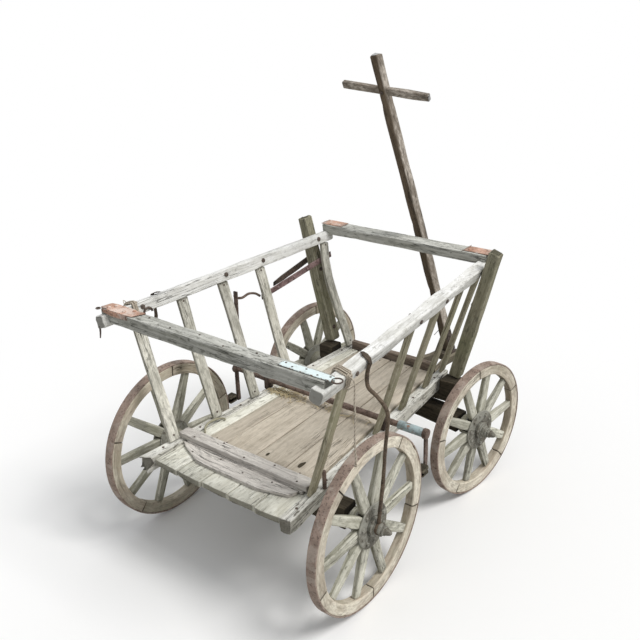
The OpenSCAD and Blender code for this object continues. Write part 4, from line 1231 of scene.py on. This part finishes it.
# %% Brake
SHAFT_X, SHAFT_Z = 336.0, 402.0
SLEEVE = [(11.2, -398), (14.6, -398), (15, -397.4), (15, -307), (14.6, -306.4), (11.2, -306.4)]
HANGER_END = [(11, 398.2), (16.5, 398.2), (18, 400.5), (18, 411), (15.5, 413.8), (7, 414)]
shaft_line = np.stack([np.full(90, SHAFT_X), np.linspace(-398, 398, 90), np.full(90, SHAFT_Z)], -1)
piece("shaft", [rod(shaft_line, 11, seed=620, sides=20, rough=1.1, hint=(1, 0, 0))], rust_red,
      "cart", ["brake_shaft"], sky=0.3)
piece("sleeve", [turned_shape([SHAFT_X, 0, SHAFT_Z], ALONG_Y, SLEEVE, 40, True, rough=0.5,
                              seed=621)], paint_blue, "cart", ["brake_sleeve"],
      sky=0.3)
hangers, blocks = [], []
for side in (1, -1):
    hangers.append(turned_shape([SHAFT_X, 0, SHAFT_Z], (0, side, 0), HANGER_END, 24, rough=1.2,
                                seed=622 + side))
    hanger_path = [[SHAFT_X, side * 406, z] for z in (390, 330, 267)]
    hangers.append(timber(hanger_path, [17, 17, 19], [8, 9, 9.6], (0, side, 0), 624 + side,
                          corner=2.6, wear=0.9, step=16))
    t = np.radians(np.linspace(-0.6, 4.6, 5))
    block_path = np.stack([304 * np.cos(t), np.full(5, side * HALF_TRACK),
                           REAR_R + 304 * np.sin(t)], -1)
    blocks.append(timber(block_path, 38, 30, (0, side, 0), 626 + side, corner=4, chips=6, step=12))
piece("hangers", hangers, rust_red, "cart", ["brake_hangers"], sky=0.2)
piece("blocks", blocks, wood_dark, "cart", ["brake_blocks"], sky=0.3)
piece("brake_upright", [timber([[334, 384, 414], [332.8, 378, 600], [332, 374, 722]], 6.6,
                               [20, 17, 20], ALONG_Y, 630, corner=2.4, wear=0.7, ragged=(0, 4)),
                        bolt([330.5, 376, 700], (-1, 0, 0), 7, 4, 6, 1)], rust_red, "cart",
      ["brake_arm"], sky=0.2)
pull = smooth_path([[339, 370, 690], [352, 361, 690], [376, 353, 698], [402, 347.5, 692],
                    [424.2, 343.5, 676]], 36)
piece("brake_pull", [rod(pull, [5, 4.6, 5], seed=631, sides=12, rough=0.6)], rust_red, "cart",
      ["brake_rod"], sky=0.3)
STRAP_START = [428, 340.4, 669]
strap = [timber([STRAP_START, [635, 335.2, 692.7], [842, 330, 716.4]], 3.8, [22, 24, 23], UP, 632,
                corner=1.3, wear=0.4, ragged=(3, 4))]
strap += [bolt([x, STRAP_START[1] - (x - STRAP_START[0]) * 0.0251 - 1.9,
                STRAP_START[2] + (x - STRAP_START[0]) * 0.1145], (0, -1, 0), size, 4, 8, x)
          for x, size in ((446, 7), (520, 5), (612, 6), (690, 5), (757, 5), (830, 6.5))]
piece("brake_flat", strap, rust_pink, "cart", ["brake_strap"], sky=0.3)
lever = timber([[556, 396, 664], [610, 396.6, 672.5], [700, 397.5, 686.7], [860, 399.2, 712]], 7.6,
               [17, 25, 24, 21], UP, 633, corner=2.6, chips=7, wear=1.0, ragged=(8, 3))
piece("lever", [lever, bolt([770, 394.4, 698], (0, -1, 0), 8, 5, 6, 2)],
      iron_dark, "cart", ["brake_lever"], sky=0.2)

# %% [markdown]
# ## Small irons on the bed and the corners
# Iron plates hold the bars to the rails. The one at the left rear corner has broken to a triangle
# and ends in an eye. The blue strap at the right rear carries a loose ring. A peg and the shaft's
# two bearings stand on the bed rails.

# %% Plates, straps and pegs
irons = [timber([[SHAFT_X, s * 240, 392], [SHAFT_X, s * 258, 392]], 30, 52, UP, 640 + s, corner=3,
                end_round=1.5) for s in (1, -1)]
irons += [turned_shape([-34, -284, 0], UP, [(6.4, 366), (7, 368), (6.6, 424), (4.5, 428)], 16,
                       rough=1.2, seed=642)]
piece("bed_small_irons", irons, rust_red, "cart", ["bed_irons"], sky=0.3)

corner_y = np.array([268.5, 300, 404, 424.5])
corner_plate = timber(np.stack([[-155.5, -177, -177, -196], corner_y, [835.6, 835.6, 835.8, 835.4]],
                               -1), [4, 46, 46, 8], 2.8, UP, 650, corner=1.2, wear=0.5, step=12,
                      end_round=1.0)
lip = timber([[-201.4, 303, 828], [-201.6, 360, 827], [-201.4, 415, 829]], 2.4, [14, 17, 12], UP,
             651, corner=1.0, wear=0.3, step=12)
eye = turned_shape([-208, 423, 0], UP, [(4.5, 834.6), (7.2, 834.6), (8, 835.6), (8, 837),
                                        (7.2, 838), (4.5, 838)], 28, True, seed=652)
pin = rod([[-216, 417, 782], [-217, 418, 760], [-219, 420, 742]], [3.4, 3, 2.2], seed=653, sides=8,
          rough=0.5)
front_plates = [timber([[845, s * 259, 843.5], [845, s * 359.5, 843.5]], 52, 2.8, UP, 654 + s,
                       corner=1.2, wear=0.5, ragged=(3, 3), step=14) for s in (1, -1)]
plate_bolts = [bolt([x, y, 837], UP, 6, 4, 8, n)
               for n, (x, y) in enumerate(((-166, 306), (-184, 332), (-168, 385), (-186, 398)))]
plate_bolts += [bolt([x, s * y, 845], UP, 5.5, 3.5, 8, n + s + 1) for s in (1, -1)
                for n, (x, y) in enumerate(((832, 280), (858, 338)))]
piece("corner_eye", [eye, pin], iron_dark, "cart")
piece("plates_rusty", [corner_plate, lip] + front_plates + plate_bolts, rust_salmon, "cart",
      ["corner_straps"])

blue = [timber([[-178, -440.5, 835.5], [-178, -356, 835.8], [-178, -271, 835.5]], [24, 28, 27], 2.8,
               UP, 660, corner=1.2, wear=0.4, ragged=(4, 2), step=12)]
ring_t = np.linspace(0, 2 * np.pi, 49)[:-1]
ring_profile = np.stack([13.5 + 2.0 * np.cos(ring_t[::4]), 835.5 + 2.0 * np.sin(ring_t[::4])], -1)
loose_ring = turned_shape([-178, -449, 0], UP, ring_profile, 40, True, seed=661)
piece("strap_blue", blue, paint_pale, "cart", ["ring_strap"])
piece("ring_loose", [loose_ring], iron_dark, "cart")
nails = [bolt([-178 + (-1) ** n * 5, y, 836.9], UP, 3, 1.2, 8, n)
         for n, y in enumerate((-425, -392, -350, -312, -284))]
piece("strap_nails", nails, iron_dark, "cart")

# %% [markdown]
# ## Turns of twine
# Old twine is wound round both top rails near the back. A helix round a rounded square follows
# the rail: its height along the rail grows with the angle. The tails hang down loose but short.

# %% Bindings


def winding(side, u0, u1, turns, seed, clear=2.4, phase=0.0):
    """Helix round the rail: v and w go round a rounded square, and u grows with the angle."""
    t = np.linspace(0, turns * 2 * np.pi, int(turns * 40))
    c, s = np.cos(t + phase), np.sin(t + phase)
    v = (20 + clear) * np.sign(c) * np.abs(c) ** 0.42
    w = (21 + clear) * np.sign(s) * np.abs(s) ** 0.42
    u = u0 + (u1 - u0) * t / t[-1] + 1.8 * uneven(t * 0.7, seed=seed)
    return rod(np.stack(np.broadcast_arrays(*leaning(u, v, LADDER_L + w, side)), -1), 2.3,
               seed=seed, sides=8, strands=2, pitch=14, hint=direction(1, 0, 0, side))


def tail(points, side, seed, radius=1.9):
    """A loose end through a few points (u, v, w) of the leaning side, thinner at its tip."""
    path = smooth_path([leaning(*p, side) for p in points], 40)
    return rod(path, [radius, radius, radius * 0.7], seed=seed, **TWISTED,
               hint=direction(1, 0, 0, side))


piece("twine_left", [winding(1, 92, 114, 4.4, 671), winding(1, 113, 94, 2.6, 672, 5.4, 0.8),
                     tail([(104, -25, LADDER_L + 8), (106, -29, LADDER_L - 12),
                           (109, -30, LADDER_L - 34), (106, -27, LADDER_L - 52)], 1, 673),
                     tail([(96, 5, LADDER_L + 27), (90, 10, LADDER_L + 36), (84, 4, LADDER_L + 31),
                           (79, -6, LADDER_L + 27)], 1, 674, 1.4)], twine, "cart", ["rail_binding"],
      sky=0.5, sharp=70)
knot_t = np.linspace(0, 2 * np.pi * 2.5, 90)
knot_path = np.stack([-104 + 5.5 * np.cos(knot_t), -432 - 4.4 * np.cos(knot_t * 0.4),
                      809.5 + 4.6 * np.sin(knot_t)], -1)
lead = rod([[-104, -428, 812], [-104, -433, 809], [-104, -437.9, 806.1]], 2.4, seed=679, sides=10,
           strands=2, pitch=20)
piece("twine_right", [winding(-1, 92, 114, 4.4, 675), winding(-1, 112, 93, 2.6, 676, 5.4, 1.1),
                      lead, rod(knot_path, 2.2, seed=677, **TWISTED, hint=(0, 1, 0.1)),
                      tail([(100, -24, LADDER_L + 10), (97, -29, LADDER_L - 8),
                            (99, -31, LADDER_L - 30), (103, -28, LADDER_L - 62),
                            (101, -26, LADDER_L - 84)], -1, 678)], twine, "cart", ["cord_binding"],
      sky=0.5, sharp=70)
hook_t = np.radians(np.linspace(0, 200, 30))
hook = [leaning(142 + 15 * math.cos(a), -24, LADDER_L - 22 + 15 * math.sin(a)) for a in hook_t]
piece("hook_black", [rod(hook, [4, 4, 3.6, 2.6], seed=680, sides=10, rough=0.5,
                         hint=direction(0, 1, 0))], iron_dark, "cart", ["rail_hook"],
      sky=0.2)

# %% [markdown]
# ## Bolts and nails in the wood
# Bolts hold the slats, stakes and rails; nails hold the battens and boards. Each is only a few
# dozen faces, because there are many of them. Their places follow from the timbers they hold.

# %% Bolts and nails


def nail_row(x, offsets, y_from, y_to, z, radius):
    """Nails across a batten or bar: even steps in y, and each a little off the line in x."""
    across = np.linspace(y_from, y_to, len(offsets))
    return [bolt([x + dx, y, z], UP, radius, 1.0, 8, n)
            for n, (dx, y) in enumerate(zip(offsets, across))]


heads = [bolt(leaning(u, -20, LADDER_L + 1, s), direction(0, -1, 0, s), 8, 3.5, 10, int(u))
         for s, us in ((1, (130, 482, 660, 960)), (-1, (150, 520, 700, 960))) for u in us]
heads += [bolt(leaning(u, 20, LADDER_L + 1, s), direction(0, 1, 0, s), 7, 4, 6, int(u)) for s, us in
          ((1, (130, 482, 660)), (-1, (150, 520, 700))) for u in us]
heads += [bolt(leaning(u, -7, w, s), direction(0, -1, 0, s), 3.4, 1.4, 8, int(u + w))
          for s, us in SLAT_PLACES for u in us for w in (22, 418)]
heads += [bolt(on_stake(-22, w, s), direction(0, -1, 0, s, STAKE_LEAN), 8, 4, 10, int(w))
          for s in (1, -1) for w in (60, 300)]
heads += [bolt(on_rail(u, -19, RAIL_TOP, s), UP, 4, 2, 8, int(u)) for s in (1, -1)
          for u in (60, 215, 400, 590, 780, 950)]
heads += nail_row(-63, [-14, 12, -9, 15, -12], -215, 210, FLOOR + 31.6, 3.2)
heads += nail_row(-106, [4, -10, 5, -14], -140, 175, FLOOR + 12.7, 3)
heads += nail_row(-176, [8, -10, 6, -7, 9], -180, 240, 833.5, 3)
piece("bolts_and_nails", heads, iron_dark, "cart")
floor_nails = [bolt([x + 5 * math.sin(y), y, FLOOR + 13.8], UP, 2.6, 0.8, 8, int(abs(y)))
               for x in (-24, 380, 740) for y in (-180, -140, -85, -40, 30, 75, 120, 165)]
piece("floor_nails", floor_nails, iron_dark, "cart")

# %% [markdown]
# ## Straw along the brake shaft
# Bits of straw have blown against the shaft and stayed. Each stalk is a thin rod with a slight
# bend, scattered with a seeded random generator so that every run gives the same litter.

# %% Straw
rng = np.random.default_rng(9)
stalks = []
for n in range(120):
    x = SHAFT_X + rng.normal(-8, 15)
    y, t = (rng.normal(178, 34) if n % 3 else rng.uniform(-205, 150)), rng.uniform(0, np.pi)
    length, lift = rng.uniform(16, 46), rng.uniform(0, 10)
    d = np.array([math.cos(t), math.sin(t), 0]) * length / 2
    middle = np.array([x, min(y, 224), FLOOR + 15.6 + lift])
    stalks.append(rod(smooth_path([middle - d - [0, 0, lift * 0.7], middle + rng.normal(0, 2, 3),
                                   middle + d - [0, 0, lift * 0.5]], 6), [1.2, 1.0], seed=700 + n,
                      sides=4))
piece("straw_litter", stalks, straw, "cart", sky=0.5)
twig = [[-24, 214, 375], [-6, 232, 377], [24, 244, 378], [58, 240, 377], [76, 224, 376],
        [70, 214, 375]]
piece("twig_bent", [rod(smooth_path(twig, 48), [3, 4.6, 4.6, 3], seed=830, sides=10, rough=1.0)],
      wood_stake, "cart", sky=0.9)

# %% [markdown]
# ## Knot and stain
# A knot has fallen out of one board and left a hollow, drawn as a flat dark patch whose darkness
# is painted shade; something dark has dried on another, a real stain. Each is a flat patch a fifth
# of a millimetre thick with an uneven outline.

# %% Knot and stain


def stain_and_hollow_shade(x, y, length, width, seed):
    """Flat patch on the floor: the outline is an ellipse with an uneven radius."""
    patch = turned_shape([0, 0, 0], UP, [(1, 0), (0.97, 0.1), (0.7, 0.2)], 40, seed=seed)
    along, across, high = patch["points"].T
    angle = np.arctan2(across, along)
    reach = 1 + 0.16 * uneven(np.cos(angle) * 2.2, np.sin(angle) * 2.2, seed=seed)
    patch["points"] = np.stack([x + along * reach * length / 2, y + across * reach * width / 2,
                                high + FLOOR + 13.9], -1)
    return patch


# The first patch is the knot hole, its darkness painted shade; the second is a stain.
piece("floor_marks", [stain_and_hollow_shade(3, -34, 17, 10, 41), stain_and_hollow_shade(18, -157, 34, 15, 42)], wood_shade_and_stain, "cart",
      sky=0.0)

# %% [markdown]
# ## Floor and light
# A pale floor catches a soft shadow. The world is white for the camera and for reflections, and a
# soft grey sky for the light on the wood. One broad sun gives the tops their brightness. Together
# they light a flat surface to about its own colour, so the wood's colours come out as written.

# %% Studio floor


def seen_directly(tree):
    """1 for rays of the camera, of reflections and of clear glass; 0 for the light on things."""
    kind = put(tree, "LightPath", {})
    return calc(tree, "MAXIMUM", kind["Is Camera Ray"],
                calc(tree, "MAXIMUM", kind["Is Glossy Ray"], kind["Is Transmission Ray"]))


floor_mesh = bpy.data.meshes.new("studio_floor")
floor_mesh.from_pydata([(-14, -14, 0), (14, -14, 0), (14, 14, 0), (-14, 14, 0)], [], [(0, 1, 2, 3)])
studio_floor = bpy.data.objects.new("studio_floor", floor_mesh)
bpy.context.collection.objects.link(studio_floor)
pale, tree, shader = new_material("pale_floor")
shader.inputs["Roughness"].default_value = 1.0
shader.inputs["Specular IOR Level"].default_value = 0.0
away = put(tree, "VectorMath", {0: put(tree, "TexCoord", {})["Object"]},
           operation="LENGTH")["Value"]
seen = seen_directly(tree)
fade = calc(tree, "MULTIPLY", between(tree, away, 0.9, 2.2), seen)
ground = blend_colour(tree, seen, (0.45, 0.44, 0.42, 1), (0.95, 0.95, 0.95, 1))
tree.links.new(ground, shader.inputs["Base Color"])
glow = put(tree, "Emission", {"Color": (1, 1, 1, 1), "Strength": 1.0})[0]
mixed = put(tree, "MixShader", {0: fade, 1: shader.outputs[0], 2: glow})[0]
tree.links.new(mixed, tree.nodes["Material Output"].inputs["Surface"])
floor_mesh.materials.append(pale)
print("floor:", len(floor_mesh.polygons), "face")

# %% Sky and sun
SKY_STRENGTH = 0.56
world = bpy.data.worlds.new("studio_sky")
bpy.context.scene.world = world
world.use_nodes = True
tree = world.node_tree
plain = seen_directly(tree)
sky_light = put(tree, "Background", {"Color": (0.97, 0.985, 1.0, 1), "Strength": SKY_STRENGTH})[0]
white = put(tree, "Background", {"Color": (1, 1, 1, 1), "Strength": 1.0})[0]
both = put(tree, "MixShader", {0: plain, 1: sky_light, 2: white})[0]
tree.links.new(both, tree.nodes["World Output"].inputs["Surface"])

sun_data = bpy.data.lights.new("broad_sun", "SUN")
sun_data.energy = 2.0
sun_data.angle = math.radians(24)
sun_data.color = (1.0, 0.985, 0.96)
sun = bpy.data.objects.new("broad_sun", sun_data)
sun.rotation_euler = Vector((0.22, -0.72, 1.05)).to_track_quat("Z", "Y").to_euler()
bpy.context.collection.objects.link(sun)
bpy.context.scene.view_settings.view_transform = "Standard"
print("lit by a sky of", SKY_STRENGTH, "and a sun of", sun_data.energy)

# %% [markdown]
# ## Finish
# The made cart must stay inside the CAD's box.

# %% Finish
bpy.context.view_layer.update()
print("pieces:", len(made), " faces:", sum(made.values()))
